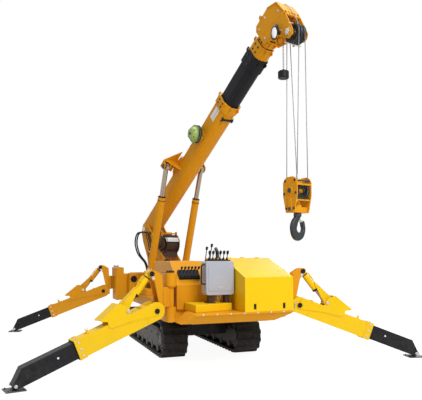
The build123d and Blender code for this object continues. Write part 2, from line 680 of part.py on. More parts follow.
# Cable reel on the side of the boom
REEL_S = 2560.0
with BuildPart() as cable_reel:
    hub = foot + boom_axis * REEL_S + boom_up * 60 - aside * (300 / 2)
    wheel(hub - aside * 35, aside, 45, 70)
    wheel(hub - aside * 70, aside, 150, 10)
    wheel(hub - aside * 110, aside, 120, 80)
    wheel(hub - aside * 152, aside, 150, 10)
save(cable_reel, "cable_reel")

# Hoist ropes, hook block and hook: four falls between four head sheaves and two in the block
ROPE_RADIUS = 6.0
BLOCK_HALF = 140.0
BLOCK_DEEP = 142.0
BLOCK_AXLE = 190.0        # block axle below the top of the block
rope_reach = SHEAVE_RADIUS - GROOVE + ROPE_RADIUS + RUN
block_top = Vector(sheave_axle.X, sheave_axle.Y, HOOK_TOP)
block_axle = block_top - skyward * BLOCK_AXLE
FALLS = (                 # head sheave, block sheave, side of the sheaves
    (0, 0, 1),
    (1, 0, -1),
    (2, 1, 1),
    (3, 1, -1),
)
with BuildPart() as hoist_ropes:
    for head_sheave, block_sheave, front in FALLS:
        upper = (sheave_axle + aside * (head_sheave - 1.5) * SHEAVE_PITCH
                 + ahead * front * rope_reach)
        lower = (block_axle + aside * (block_sheave - 0.5) * 2 * SHEAVE_PITCH
                 + ahead * front * rope_reach)
        wheel((upper + lower) / 2, lower - upper, ROPE_RADIUS, (lower - upper).length)
save(hoist_ropes, "hoist_ropes")

BLOCK_HEIGHT = 500.0
block_plane = Plane(origin=block_top, x_dir=ahead, z_dir=-aside)
with BuildPart() as hook_block:
    with BuildSketch(block_plane):
        with BuildLine():
            Polyline((-70, 0), (70, 0), (BLOCK_DEEP, -80), (BLOCK_DEEP, -260),
                     (85, -BLOCK_HEIGHT), (-85, -BLOCK_HEIGHT), (-BLOCK_DEEP, -260),
                     (-BLOCK_DEEP, -80), close=True)
        make_face()
    extrude(amount=BLOCK_HALF, both=True)
    with BuildSketch(block_plane):
        with Locations((0, -140)):
            Rectangle(400, 400)
    extrude(amount=BLOCK_HALF - 16, both=True, mode=Mode.SUBTRACT)
    for n in (-1, 1):
        sheave(block_axle + aside * n * SHEAVE_PITCH, SHEAVE_RADIUS, 38)
    wheel(block_axle, aside, 30, 2 * BLOCK_HALF + 16)
save(hook_block, "hook_block")

# Hook: a round bar bent through three quarters of a circle, under a plain shank
HOOK_BAR = 34.0           # radius of the bar at the bowl
HOOK_TIP = 16.0
HOOK_BOWL = 92.0          # radius of the bar's middle line
SHANK = 30.0
HOOK_ROUND = 250.0        # degrees of bend
hook_centre = Vector(block_top.X, block_top.Y, HOOK_LOW + HOOK_BOWL + HOOK_BAR)
hook_plane = Plane(origin=hook_centre, x_dir=aside, z_dir=-ahead)
shank_top = HOOK_TOP - BLOCK_HEIGHT - RUN - hook_centre.Z
with BuildPart() as hook:
    with BuildLine(hook_plane):
        bowl = CenterArc((0, 0), HOOK_BOWL, 90, HOOK_ROUND)
    with BuildSketch(Plane(origin=bowl @ 0, z_dir=bowl % 0)):
        Circle(HOOK_BAR * 0.8)
    with BuildSketch(Plane(origin=bowl @ 0.5, z_dir=bowl % 0.5)):
        Circle(HOOK_BAR)
    with BuildSketch(Plane(origin=bowl @ 1, z_dir=bowl % 1)):
        Circle(HOOK_TIP)
    sweep(path=bowl, multisection=True)
    wheel(hook_centre + skyward * (HOOK_BOWL - 20 + shank_top) / 2, (0, 0, 1), SHANK,
          shank_top - HOOK_BOWL + 20)
save(hook, "hook")
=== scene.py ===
"""Looks of a spider crane: paint, tracks, ropes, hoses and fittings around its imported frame.

Metres, +Z up. The engine end faces -Y and the crane column stands towards +Y.
"""
import json
from math import cos, pi, radians, sin, tan

import bmesh
import bpy
from mathutils import Matrix, Vector


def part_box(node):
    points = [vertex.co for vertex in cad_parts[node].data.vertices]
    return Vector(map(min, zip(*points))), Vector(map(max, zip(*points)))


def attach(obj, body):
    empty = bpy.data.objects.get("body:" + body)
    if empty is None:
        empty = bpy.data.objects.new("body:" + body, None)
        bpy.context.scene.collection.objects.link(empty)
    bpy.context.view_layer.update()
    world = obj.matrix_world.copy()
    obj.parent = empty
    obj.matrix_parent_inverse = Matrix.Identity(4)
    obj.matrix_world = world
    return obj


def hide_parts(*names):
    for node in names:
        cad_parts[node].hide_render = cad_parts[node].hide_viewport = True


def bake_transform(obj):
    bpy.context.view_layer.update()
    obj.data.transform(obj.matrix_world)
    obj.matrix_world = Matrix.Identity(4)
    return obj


bl_info = {
    "name": "Spider crane",
    "version": (1, 0, 0),
    "blender": (4, 5, 0),
    "location": "View3D > Sidebar > Spider crane",
    "description": "Paint, tracks, ropes, hoses and fittings of a tracked crane on four legs",
    "category": "Object",
}

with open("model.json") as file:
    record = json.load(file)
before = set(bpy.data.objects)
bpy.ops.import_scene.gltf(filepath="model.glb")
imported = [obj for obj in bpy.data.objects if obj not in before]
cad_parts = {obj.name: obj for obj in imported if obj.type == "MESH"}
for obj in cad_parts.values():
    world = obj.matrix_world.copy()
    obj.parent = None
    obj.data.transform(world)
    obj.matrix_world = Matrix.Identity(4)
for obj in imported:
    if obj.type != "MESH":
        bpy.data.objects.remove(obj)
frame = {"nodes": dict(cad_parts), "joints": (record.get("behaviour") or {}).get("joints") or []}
NODES = frame["nodes"]
JOINTS = {joint["name"]: joint for joint in frame["joints"]}
UP = Vector((0, 0, 1))
WORLD = Matrix()
SIDES = (("left", -1), ("right", 1))
LEGS = ("front_left", "front_right", "rear_left", "rear_right")


def joint_at(name):
    """Where a joint's axis passes."""
    return Vector(JOINTS[name]["pos_m"])


def joint_axis(name):
    return Vector(JOINTS[name]["axis"]).normalized()


def place(origin, x_axis, z_axis):
    """Matrix of a local frame with these X and Z directions."""
    x_axis, z_axis = Vector(x_axis).normalized(), Vector(z_axis).normalized()
    y_axis = z_axis.cross(x_axis)
    matrix = Matrix((x_axis, y_axis, z_axis)).transposed().to_4x4()
    matrix.translation = origin
    return matrix


def leg_place(leg):
    """Frame of a leg: X outwards along it, Y away from its top side, origin at its hinge."""
    along = joint_axis(f"extend_{leg}")
    across = joint_axis(f"lift_{leg}")
    if along.cross(UP).dot(across) < 0:
        across = -across
    return place(joint_at(f"lift_{leg}"), along, across)


BOOM_FOOT = joint_at("luff")
BOOM_AXIS = joint_axis("telescope_second")
BOOM_SIDE = joint_axis("luff")
BOOM = place(BOOM_FOOT, BOOM_AXIS, BOOM_SIDE)
COLUMN = joint_at("slew")


# Properties that a user would change

class CraneColours(bpy.types.PropertyGroup):
    """Colours of the finishes."""
    # Amber and yellow are one yellow paint in two copies. The amber is painted shade, darker and
    # more orange, on the boom, column, deck and rear legs. The yellow is painted light on the
    # cover, step and front legs.
    amber: bpy.props.FloatVectorProperty(
        name="Amber paint", description="Paint of the boom, column and rear legs",
        subtype="COLOR", size=3, min=0, max=1, default=(0.72, 0.305, 0.008))
    yellow: bpy.props.FloatVectorProperty(
        name="Yellow paint", description="Paint of the engine cover and front legs",
        subtype="COLOR", size=3, min=0, max=1, default=(0.86, 0.545, 0.006))
    black: bpy.props.FloatVectorProperty(
        name="Black paint", description="Paint of the sliding sections",
        subtype="COLOR", size=3, min=0, max=1, default=(0.017, 0.0175, 0.020))
    rubber: bpy.props.FloatVectorProperty(
        name="Track rubber", description="Rubber of the tracks",
        subtype="COLOR", size=3, min=0, max=1, default=(0.011, 0.011, 0.011))
    frame_grey: bpy.props.FloatVectorProperty(
        name="Frame grey", description="Track frames and rollers",
        subtype="COLOR", size=3, min=0, max=1, default=(0.070, 0.070, 0.072))
    steel: bpy.props.FloatVectorProperty(
        name="Dark steel", description="Hook, sheaves and pads",
        subtype="COLOR", size=3, min=0, max=1, default=(0.055, 0.062, 0.068))
    chrome: bpy.props.FloatVectorProperty(
        name="Chrome", description="Cylinder rods and pins",
        subtype="COLOR", size=3, min=0, max=1, default=(0.36, 0.29, 0.23))
    box_grey: bpy.props.FloatVectorProperty(
        name="Control box grey", description="Moulded control box",
        subtype="COLOR", size=3, min=0, max=1, default=(0.42, 0.44, 0.50))
    reel_green: bpy.props.FloatVectorProperty(
        name="Reel green", description="Cable reel",
        subtype="COLOR", size=3, min=0, max=1, default=(0.33, 0.45, 0.13))


class CraneSizes(bpy.types.PropertyGroup):
    """Sizes of the rigging."""
    rope: bpy.props.FloatProperty(
        name="Rope diameter", description="Diameter of the hoist rope",
        default=0.012, min=0.004, max=0.03, unit="LENGTH", subtype="DISTANCE")


class CraneStudio(bpy.types.PropertyGroup):
    """Camera and lights."""
    lens: bpy.props.FloatProperty(
        name="Lens", description="Focal length of the camera", default=46.03, min=10, max=200,
        unit="CAMERA")
    shift: bpy.props.FloatProperty(
        name="Shift", description="Upward shift of the picture, as a share of its width",
        default=0.1019, min=-0.5, max=0.5)
    yaw: bpy.props.FloatProperty(
        name="Yaw", description="Turn of the camera from +Y towards +X",
        default=radians(19.794), subtype="ANGLE", unit="ROTATION")
    pitch: bpy.props.FloatProperty(
        name="Pitch", description="Rise of the camera's view above level",
        default=radians(1.246), subtype="ANGLE", unit="ROTATION")
    roll: bpy.props.FloatProperty(
        name="Roll", description="Turn of the camera about its view",
        default=radians(-0.339), subtype="ANGLE", unit="ROTATION")
    eye: bpy.props.FloatVectorProperty(
        name="Eye", description="Place of the camera", size=3, subtype="TRANSLATION",
        unit="LENGTH", default=(-2.774, -9.145, 1.534))
    sky: bpy.props.FloatProperty(
        name="Sky", description="Strength of the even light", default=0.40, min=0, max=5)
    key: bpy.props.FloatProperty(
        name="Key light", description="Power of the main lamp", default=830, min=0, unit="POWER")
    top: bpy.props.FloatProperty(
        name="Top light", description="Power of the overhead lamp", default=650, min=0,
        unit="POWER")


def colours():
    return bpy.context.scene.crane_colours


def sizes():
    return bpy.context.scene.crane_sizes


# Shader building

COLOUR, FLOAT, VECTOR = "NodeSocketColor", "NodeSocketFloat", "NodeSocketVector"


def feed(tree, socket, value):
    """Links a socket to another one, or sets its plain value."""
    if isinstance(value, bpy.types.NodeSocket):
        tree.links.new(value, socket)
    else:
        socket.default_value = value


def wire(tree, kind, inputs=None, output=0, **settings):
    """Adds a node fed by sockets or plain values, and gives back one of its outputs."""
    node = tree.nodes.new(kind)
    for key, value in settings.items():
        setattr(node, key, value)
    for key, value in (inputs or {}).items():
        feed(tree, node.inputs[key], value)
    return node.outputs[output]


def calc(tree, operation, *values, clamp=False):
    """A sum on sockets or plain values."""
    return wire(tree, "ShaderNodeMath", dict(enumerate(values)), operation=operation,
                use_clamp=clamp)


def span(tree, value, low, high, first=0.0, last=1.0):
    """A value taken from one range to another."""
    return wire(tree, "ShaderNodeMapRange", {
        "Value": value, "From Min": low, "From Max": high, "To Min": first, "To Max": last})


def noise(tree, where, scale, **inputs):
    return wire(tree, "ShaderNodeTexNoise", {"Vector": where, "Scale": scale, **inputs}, "Fac")


def mix_colour(tree, share, first, second):
    return wire(tree, "ShaderNodeMix", {"Factor": share, "A": first, "B": second}, "Result",
                data_type="RGBA")


def object_point(tree):
    return wire(tree, "ShaderNodeTexCoord", output="Object")


def object_height(tree):
    return wire(tree, "ShaderNodeSeparateXYZ", {0: object_point(tree)}, "Z")


def seen_plainly(tree):
    """1 for rays that show the background: from the camera, off gloss and through glass."""
    path = tree.nodes.new("ShaderNodeLightPath").outputs
    seen = calc(tree, "MAXIMUM", path["Is Camera Ray"], path["Is Glossy Ray"])
    return calc(tree, "MAXIMUM", seen, path["Is Transmission Ray"])


def blotch_effect(tree, given):
    """Soft patches of tone and shine, as sprayed and weathered surfaces have."""
    where = object_point(tree)
    large = noise(tree, where, given["Scale"], Detail=5.0, Roughness=0.6)
    swing = calc(tree, "MULTIPLY", calc(tree, "SUBTRACT", large, 0.5), given["Tone"])
    tinted = wire(tree, "ShaderNodeHueSaturation", {
        "Color": given["Colour"], "Value": calc(tree, "ADD", swing, 1.0)}, "Color")
    fine = noise(tree, where, 9.0, Detail=4.0)
    shine = calc(tree, "MULTIPLY_ADD", calc(tree, "SUBTRACT", fine, 0.5),
                 given["Roughness spread"], given["Roughness"])
    return {"Colour": tinted, "Roughness": shine}


def dust_effect(tree, given):
    """Pale dust, in patches that fade out upwards."""
    low = span(tree, object_height(tree), 0.0, given["Fade height"], 1.0, 0.0)
    patches = noise(tree, object_point(tree), 14.0, Detail=8.0, Roughness=0.7)
    patchy = calc(tree, "MULTIPLY", low, span(tree, patches, 0.38, 0.72))
    mask = calc(tree, "MULTIPLY", patchy, given["Amount"], clamp=True)
    dull = wire(tree, "ShaderNodeMix", {"Factor": mask, "A": given["Roughness"], "B": 0.9},
                "Result")
    return {"Colour": mix_colour(tree, mask, given["Colour"], given["Dust colour"]),
            "Roughness": dull}


def grain_effect(tree, given):
    """Fine surface height: orange peel of paint, cast skin or moulded grain."""
    where = object_point(tree)
    pits = wire(tree, "ShaderNodeTexVoronoi", {"Vector": where, "Scale": 45.0}, "Distance")
    height = calc(tree, "ADD", noise(tree, where, given["Scale"], Detail=3.0),
                  calc(tree, "MULTIPLY", pits, given["Pits"]))
    return {"Normal": wire(tree, "ShaderNodeBump", {
        "Height": height, "Strength": given["Strength"], "Distance": given["Depth"]}, "Normal")}


def rub_and_sheen_effect(tree, given):
    """Mask of outer edges, broken up by a fine noise, where paint rubs thin, and where the track
    rubber gets a painted highlight on its lugs.
    """
    rounded_off = wire(tree, "ShaderNodeBevel", {"Radius": given["Radius"]}, samples=4)
    as_built = wire(tree, "ShaderNodeNewGeometry", output="Normal")
    meet = wire(tree, "ShaderNodeVectorMath", {0: rounded_off, 1: as_built}, "Value",
                operation="DOT_PRODUCT")
    breaks = noise(tree, object_point(tree), given["Breakup"], Detail=6.0, Roughness=0.7)
    broken = calc(tree, "MULTIPLY", span(tree, meet, 0.995, 0.93), span(tree, breaks, 0.47, 0.66))
    return {"Mask": calc(tree, "MULTIPLY", broken, given["Amount"], clamp=True)}


EFFECTS = {               # name: maker, inputs with kind and value, outputs with kind
    "Blotch": (blotch_effect, (
        ("Colour", COLOUR, (0.8, 0.8, 0.8, 1)), ("Tone", FLOAT, 0.1), ("Scale", FLOAT, 3.0),
        ("Roughness", FLOAT, 0.4), ("Roughness spread", FLOAT, 0.1)),
        (("Colour", COLOUR), ("Roughness", FLOAT))),
    "Dust": (dust_effect, (
        ("Colour", COLOUR, (0.5, 0.5, 0.5, 1)), ("Roughness", FLOAT, 0.4),
        ("Dust colour", COLOUR, (0.42, 0.37, 0.30, 1)), ("Amount", FLOAT, 0.3),
        ("Fade height", FLOAT, 0.9)),
        (("Colour", COLOUR), ("Roughness", FLOAT))),
    "Surface grain": (grain_effect, (
        ("Scale", FLOAT, 60.0), ("Strength", FLOAT, 0.2), ("Depth", FLOAT, 0.0005),
        ("Pits", FLOAT, 0.0)),
        (("Normal", VECTOR),)),
    "Edge rub and sheen": (rub_and_sheen_effect, (
        ("Radius", FLOAT, 0.006), ("Breakup", FLOAT, 22.0), ("Amount", FLOAT, 0.5)),
        (("Mask", FLOAT),)),
}
GROUPS = {}


def effect(tree, name, values):
    """The outputs of a shared effect, built once and placed here with its own values."""
    if name not in GROUPS:
        maker, inputs, outputs = EFFECTS[name]
        shared = GROUPS[name] = bpy.data.node_groups.new(name, "ShaderNodeTree")
        for label, kind, value in inputs:
            socket = shared.interface.new_socket(label, in_out="INPUT", socket_type=kind)
            socket.default_value = value
        for label, kind in outputs:
            shared.interface.new_socket(label, in_out="OUTPUT", socket_type=kind)
        start, end = shared.nodes.new("NodeGroupInput"), shared.nodes.new("NodeGroupOutput")
        for label, socket in maker(shared, start.outputs).items():
            shared.links.new(socket, end.inputs[label])
    node = tree.nodes.new("ShaderNodeGroup")
    node.node_tree = GROUPS[name]
    for key, value in values.items():
        feed(tree, node.inputs[key], value)
    return node.outputs


PEEL = (70.0, 0.12, 0.0006, 0.0)          # noise scale, strength, depth, pits
CAST = (130.0, 0.45, 0.0015, 0.4)
MOULD = (260.0, 0.30, 0.0005, 0.0)
BELT = (90.0, 0.55, 0.0025, 0.2)
PAINT = {"specular": 0.10, "dust": 0.18, "grain": PEEL, "rub_and_sheen": 0.35,
         "rub_and_sheen_colour": (0.93, 0.74, 0.40)}
TWO_TONE_HEIGHT = (0.598, 0.602)          # where the frame's paint gives way to black
FINISHES = {              # name: label, colour or its property, roughness, other values
    # The amber finish is the yellow paint in painted shade, and the yellow finish is the same paint
    # in painted light
    "amber": ("Amber paint", "amber", 0.40, PAINT),
    "two tone": ("Amber over black", "amber", 0.40, {**PAINT, "below": "black"}),
    "yellow": ("Yellow paint", "yellow", 0.40, PAINT),
    "black": ("Black paint", "black", 0.40, {
        "specular": 0.08, "dust": 0.08, "dust_height": 0.6, "grain": PEEL, "rub_and_sheen": 0.5,
        "rub_and_sheen_colour": (0.12, 0.12, 0.13)}),
    # On the track rubber the lighter edges are a painted highlight on the lugs, not wear
    "rubber": ("Track rubber", "rubber", 0.72, {
        "tone": 0.35, "dust": 0.14, "dust_height": 0.6, "grain": BELT, "rub_and_sheen": 0.8,
        "rub_and_sheen_colour": (0.10, 0.098, 0.092), "specular": 0.2}),
    "frame grey": ("Frame grey", "frame_grey", 0.55, {
        "tone": 0.3, "dust": 0.55, "dust_height": 0.7, "grain": CAST, "rub_and_sheen": 0.4,
        "rub_and_sheen_colour": (0.26, 0.25, 0.24)}),
    "steel": ("Dark steel", "steel", 0.42, {
        "metallic": 0.75, "tone": 0.3, "spread": 0.25, "dust": 0.2, "dust_height": 0.3,
        "grain": CAST, "rub_and_sheen": 0.5, "rub_and_sheen_colour": (0.22, 0.22, 0.23)}),
    "chrome": ("Chrome", "chrome", 0.22, {"metallic": 1.0, "tone": 0.05, "spread": 0.06}),
    "zinc": ("Zinc plate", (0.58, 0.57, 0.54), 0.34, {
        "metallic": 0.9, "tone": 0.15, "spread": 0.2}),
    "box grey": ("Control box grey", "box_grey", 0.42, {"tone": 0.05, "grain": MOULD}),
    "black plastic": ("Black plastic", (0.014, 0.014, 0.015), 0.38, {
        "tone": 0.1, "grain": MOULD}),
    "hose": ("Hose rubber", (0.016, 0.016, 0.017), 0.48, {"tone": 0.2, "grain": MOULD}),
    "reel green": ("Reel green", "reel_green", 0.30, {"coat": 0.15, "grain": PEEL}),
    "pale": ("Pale plate", (0.80, 0.80, 0.78), 0.35, {"tone": 0.04, "grain": PEEL}),
    "brown": ("Winch brown", (0.060, 0.034, 0.020), 0.42, {
        "tone": 0.35, "spread": 0.2, "grain": CAST, "rub_and_sheen": 0.4,
        "rub_and_sheen_colour": (0.20, 0.15, 0.10)}),
    "white cable": ("White cable", (0.72, 0.71, 0.68), 0.5, {"tone": 0.05}),
    "lamp": ("Lamp glass", (0.85, 0.86, 0.88), 0.08, {"coat": 1.0, "tone": 0.02}),
}
MATERIALS = {}


def rgba(colour):
    """A colour, or the named property that holds it, with full cover."""
    return (*(getattr(colours(), colour) if isinstance(colour, str) else colour), 1)


def finish_material(name, colour, roughness, metallic=0.0, coat=0.0, tone=0.12, spread=0.12,
                    dust=0.0, dust_height=0.9, grain=None, rub_and_sheen=0.0, rub_and_sheen_colour=None,
                    specular=0.18, below=None):
    """A finish: base colour with patches, dust below, lighter edges (worn paint, and a painted
    highlight on the track rubber) and a fine surface grain.
    """
    made = bpy.data.materials.new(name)
    made.use_nodes = True
    made.diffuse_color = rgba(colour)
    tree = made.node_tree
    shader = tree.nodes["Principled BSDF"].inputs
    for key, value in (("Metallic", metallic), ("Coat Weight", coat), ("Coat Roughness", 0.08),
                       ("Specular IOR Level", specular)):
        shader[key].default_value = value
    surface = rgba(colour)
    if below:
        surface = mix_colour(tree, span(tree, object_height(tree), *TWO_TONE_HEIGHT),
                             rgba(below), surface)
    surface, shine = effect(tree, "Blotch", {
        "Colour": surface, "Tone": tone, "Roughness": roughness, "Roughness spread": spread})
    if rub_and_sheen:
        # Lighter edges: worn paint, and on the track rubber a painted highlight
        rubbed_and_lit = effect(tree, "Edge rub and sheen", {"Amount": rub_and_sheen})["Mask"]
        surface = mix_colour(tree, rubbed_and_lit, surface, rgba(rub_and_sheen_colour))
    if dust:
        surface, shine = effect(tree, "Dust", {
            "Colour": surface, "Roughness": shine, "Amount": dust, "Fade height": dust_height})
    feed(tree, shader["Base Color"], surface)
    feed(tree, shader["Roughness"], shine)
    if grain:
        values = dict(zip(("Scale", "Strength", "Depth", "Pits"), grain))
        feed(tree, shader["Normal"], effect(tree, "Surface grain", values)["Normal"])
    return made


def rope_material():
    """Greased wire rope: bright strands with dark oil between them."""
    made = bpy.data.materials.new("Wire rope")
    made.use_nodes = True
    tree = made.node_tree
    shader = tree.nodes["Principled BSDF"].inputs
    shader["Metallic"].default_value = 0.7
    strands = wire(tree, "ShaderNodeTexWave", {
        "Vector": object_point(tree), "Scale": 26.0, "Distortion": 1.2, "Detail": 2.0}, "Fac",
        wave_type="BANDS", bands_direction="Z")
    feed(tree, shader["Base Color"],
         mix_colour(tree, strands, (0.10, 0.10, 0.10, 1), (0.46, 0.46, 0.45, 1)))
    feed(tree, shader["Roughness"], span(tree, strands, 0.0, 1.0, 0.6, 0.35))
    feed(tree, shader["Normal"], wire(tree, "ShaderNodeBump", {
        "Strength": 0.6, "Distance": 0.002, "Height": strands}, "Normal"))
    return made


def material(name):
    """The finish of that name, made when it is first asked for."""
    if name not in MATERIALS:
        if name == "rope":
            MATERIALS[name] = rope_material()
        else:
            *basics, others = FINISHES[name]
            MATERIALS[name] = finish_material(*basics, **others)
    return MATERIALS[name]


# Mesh building

def paint(obj, finish):
    """Gives an object one finish all over."""
    obj.data.materials.clear()
    obj.data.materials.append(material(finish))


def new_object(name, mesh, finish, sharp=None):
    """Turns a bmesh into a smooth object with its finish, sharp where faces meet at an angle."""
    data = bpy.data.meshes.new(name)
    bmesh.ops.recalc_face_normals(mesh, faces=mesh.faces)
    mesh.to_mesh(data)
    mesh.free()
    obj = bpy.data.objects.new(name, data)
    bpy.context.scene.collection.objects.link(obj)
    for polygon in data.polygons:
        polygon.use_smooth = True
    if sharp:
        data.set_sharp_from_angle(angle=radians(sharp))
    paint(obj, finish)
    return obj


def piece(name, mesh, body, finish, sharp=40):
    """A piece that rides on a body, in its finish."""
    obj = new_object(name, mesh, finish, sharp)
    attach(obj, body)
    return obj


def soften(obj, width, segments=2, angle=35):
    """Rounds an object's edges, after its flat faces are made whole."""
    weld = obj.modifiers.new("Weld", "WELD")
    weld.merge_threshold = 0.00005
    whole = obj.modifiers.new("Whole faces", "DECIMATE")
    whole.decimate_type = "DISSOLVE"
    whole.angle_limit = radians(0.3)
    bevel = obj.modifiers.new("Rounded edges", "BEVEL")
    bevel.width = width
    bevel.segments = segments
    bevel.limit_method = "ANGLE"
    bevel.angle_limit = radians(angle)
    bevel.miter_outer = "MITER_ARC"
    bevel.harden_normals = False
    even = obj.modifiers.new("Even normals", "WEIGHTED_NORMAL")
    even.keep_sharp = False
    even.weight = 50
    return obj


def ring_points(radius, count, start=0.0):
    """Corners of an even polygon."""
    return [(radius * cos(start + 2 * pi * n / count), radius * sin(start + 2 * pi * n / count))
            for n in range(count)]


def lathe(mesh, matrix, profile, count=48):
    """Turns a closed or open profile of (along, radius) about the local Z axis."""
    rings = []
    for along, radius in profile:
        if radius < 1e-6:
            rings.append([mesh.verts.new(matrix @ Vector((0, 0, along)))])
        else:
            rings.append([mesh.verts.new(matrix @ Vector((x, y, along)))
                          for x, y in ring_points(radius, count)])
    for low, high in zip(rings, rings[1:]):
        for n in range(count):
            m = (n + 1) % count
            if len(low) == 1 and len(high) == 1:
                continue
            if len(low) == 1:
                mesh.faces.new((low[0], high[n], high[m]))
            elif len(high) == 1:
                mesh.faces.new((low[n], high[0], low[m]))
            else:
                mesh.faces.new((low[n], high[n], high[m], low[m]))
    return rings


def prism(mesh, matrix, outline, low, high):
    """A plate with that outline in local X and Y, from one height to another."""
    low, high = sorted((low, high))
    floor = [mesh.verts.new(matrix @ Vector((x, y, low))) for x, y in outline]
    roof = [mesh.verts.new(matrix @ Vector((x, y, high))) for x, y in outline]
    count = len(outline)
    mesh.faces.new(list(reversed(floor)))
    mesh.faces.new(roof)
    for n in range(count):
        m = (n + 1) % count
        mesh.faces.new((floor[n], floor[m], roof[m], roof[n]))


def oblong(left, right, low, high):
    """Outline of a rectangle."""
    return (left, low), (right, low), (right, high), (left, high)


def slab(mesh, matrix, x, y, z):
    """A box between two values on each local axis."""
    x, y = sorted(x), sorted(y)
    prism(mesh, matrix, oblong(*x, *y), *z)


def rounded(corners, radius, steps=4):
    """An outline with each corner turned into an arc."""
    result = []
    count = len(corners)
    for n, corner in enumerate(corners):
        here = Vector(corner)
        before = (Vector(corners[n - 1]) - here)
        after = (Vector(corners[(n + 1) % count]) - here)
        half = before.angle(after) / 2
        cut = min(radius / tan(half), 0.45 * before.length, 0.45 * after.length)
        start = here + before.normalized() * cut
        finish = here + after.normalized() * cut
        for step in range(steps + 1):
            t = step / steps
            point = (1 - t) ** 2 * start + 2 * t * (1 - t) * here + t ** 2 * finish
            result.append((point.x, point.y))
    return result


def tube(mesh, points, radius, count=10, closed_ends=True):
    """A round tube through points, with its section turned along the path."""
    places = [Vector(p) for p in points]
    rings = []
    side = None
    for n, here in enumerate(places):
        before = places[max(n - 1, 0)]
        after = places[min(n + 1, len(places) - 1)]
        along = (after - before).normalized()
        if side is None:
            side = along.orthogonal().normalized()
        side = (side - along * side.dot(along)).normalized()
        other = along.cross(side)
        rings.append([mesh.verts.new(here + side * x + other * y)
                      for x, y in ring_points(radius, count)])
    for low, high in zip(rings, rings[1:]):
        for n in range(count):
            m = (n + 1) % count
            mesh.faces.new((low[n], low[m], high[m], high[n]))
    if closed_ends:
        mesh.faces.new(list(reversed(rings[0])))
        mesh.faces.new(rings[-1])


def bolt(mesh, matrix, at, outwards, width):
    """A hexagon bolt head on its washer, at a local point and facing a local direction."""
    matrix = about(matrix, at, outwards)
    lathe(mesh, matrix, ((-0.002, 0), (-0.002, width * 0.82), (width * 0.12, width * 0.82),
                         (width * 0.12, 0)), 20)
    head = ring_points(width * 0.577, 6)
    prism(mesh, matrix, head, width * 0.1, width * 0.62)
    lathe(mesh, matrix, ((width * 0.62, width * 0.5), (width * 0.72, width * 0.36),
                         (width * 0.72, 0)), 18)


def pin_head(mesh, matrix, at, outwards, radius, height):
    """A turned pin end with a chamfer and a small centre hole."""
    matrix = about(matrix, at, outwards)
    lathe(mesh, matrix, ((-0.004, 0), (-0.004, radius), (height - 0.004, radius),
                         (height, radius - 0.004), (height, radius * 0.22),
                         (height - 0.006, radius * 0.15), (height - 0.006, 0)), 32)


# Stage

WHITE = (1, 1, 1, 1)
FLOOR_GLOW = 1.18         # lifts the lit floor to plain white
FLOOR_SHARE = 0.80        # how much of the seen floor is glow, the rest shows the shadow


class CRANE_OT_stage(bpy.types.Operator):
    """Camera, floor, lamps and sky"""
    bl_idname = "crane.stage"
    bl_label = "Stage"

    def execute(self, context):
        studio = context.scene.crane_studio
        self.make_camera(context, studio)
        self.make_floor(context)
        self.make_lights(context, studio)
        self.make_sky(context, studio)
        context.scene.view_settings.view_transform = "Standard"
        return {"FINISHED"}

    def make_camera(self, context, studio):
        camera = bpy.data.cameras.new("Camera")
        camera.lens = studio.lens
        camera.shift_y = studio.shift
        camera.clip_end = 200
        eye = bpy.data.objects.new("Camera", camera)
        forward = Vector((sin(studio.yaw) * cos(studio.pitch), cos(studio.yaw) * cos(studio.pitch),
                          sin(studio.pitch)))
        right = Vector((cos(studio.yaw), -sin(studio.yaw), 0))
        turned = right * cos(studio.roll) + right.cross(forward) * sin(studio.roll)
        eye.matrix_world = place(Vector(studio.eye), turned, -forward)
        context.scene.collection.objects.link(eye)
        context.scene.camera = eye

    def make_floor(self, context):
        mesh = bmesh.new()
        bmesh.ops.create_grid(mesh, x_segments=1, y_segments=1, size=60)
        data = bpy.data.meshes.new("Floor")
        mesh.to_mesh(data)
        mesh.free()
        floor = bpy.data.objects.new("Floor", data)
        context.scene.collection.objects.link(floor)
        made = bpy.data.materials.new("Studio floor")
        made.use_nodes = True
        tree = made.node_tree
        shader = tree.nodes["Principled BSDF"]
        shader.inputs["Base Color"].default_value = (0.82, 0.82, 0.82, 1)
        shader.inputs["Roughness"].default_value = 0.9
        shader.inputs["Specular IOR Level"].default_value = 0.1
        glow = wire(tree, "ShaderNodeEmission", {"Color": WHITE, "Strength": FLOOR_GLOW})
        share = calc(tree, "MULTIPLY", seen_plainly(tree), FLOOR_SHARE)
        blend = wire(tree, "ShaderNodeMixShader", {"Fac": share, 1: shader.outputs[0], 2: glow})
        feed(tree, tree.nodes["Material Output"].inputs["Surface"], blend)
        data.materials.append(made)

    def make_lights(self, context, studio):
        lamps = (          # name, place, aim, size, power
            ("Key", (1.0, -11.0, 8.0), (0, -1.0, 1.0), 4.0, studio.key),
            ("Top", (1.5, 0.0, 12.0), (0, 0, 0.5), 8.0, studio.top),
            ("Rim", (8.0, 6.0, 6.0), (0, 0, 1.5), 5.0, studio.key * 0.35),
        )
        for name, at, aim, size, power in lamps:
            data = bpy.data.lights.new(name, "AREA")
            data.energy = power
            data.size = size
            lamp = bpy.data.objects.new(name, data)
            towards = Vector(aim) - Vector(at)
            lamp.matrix_world = place(Vector(at), towards.cross(UP), -towards)
            context.scene.collection.objects.link(lamp)

    def make_sky(self, context, studio):
        world = bpy.data.worlds.new("Studio")
        context.scene.world = world
        world.use_nodes = True
        tree = world.node_tree
        backing = tree.nodes["Background"]
        backing.inputs["Color"].default_value = WHITE
        feed(tree, backing.inputs["Strength"],
             span(tree, seen_plainly(tree), 0.0, 1.0, studio.sky, 1.0))


# Places on the machine, each with local coordinates in metres

def flat(direction):
    """That direction, laid level."""
    return Vector((direction.x, direction.y, 0)).normalized()


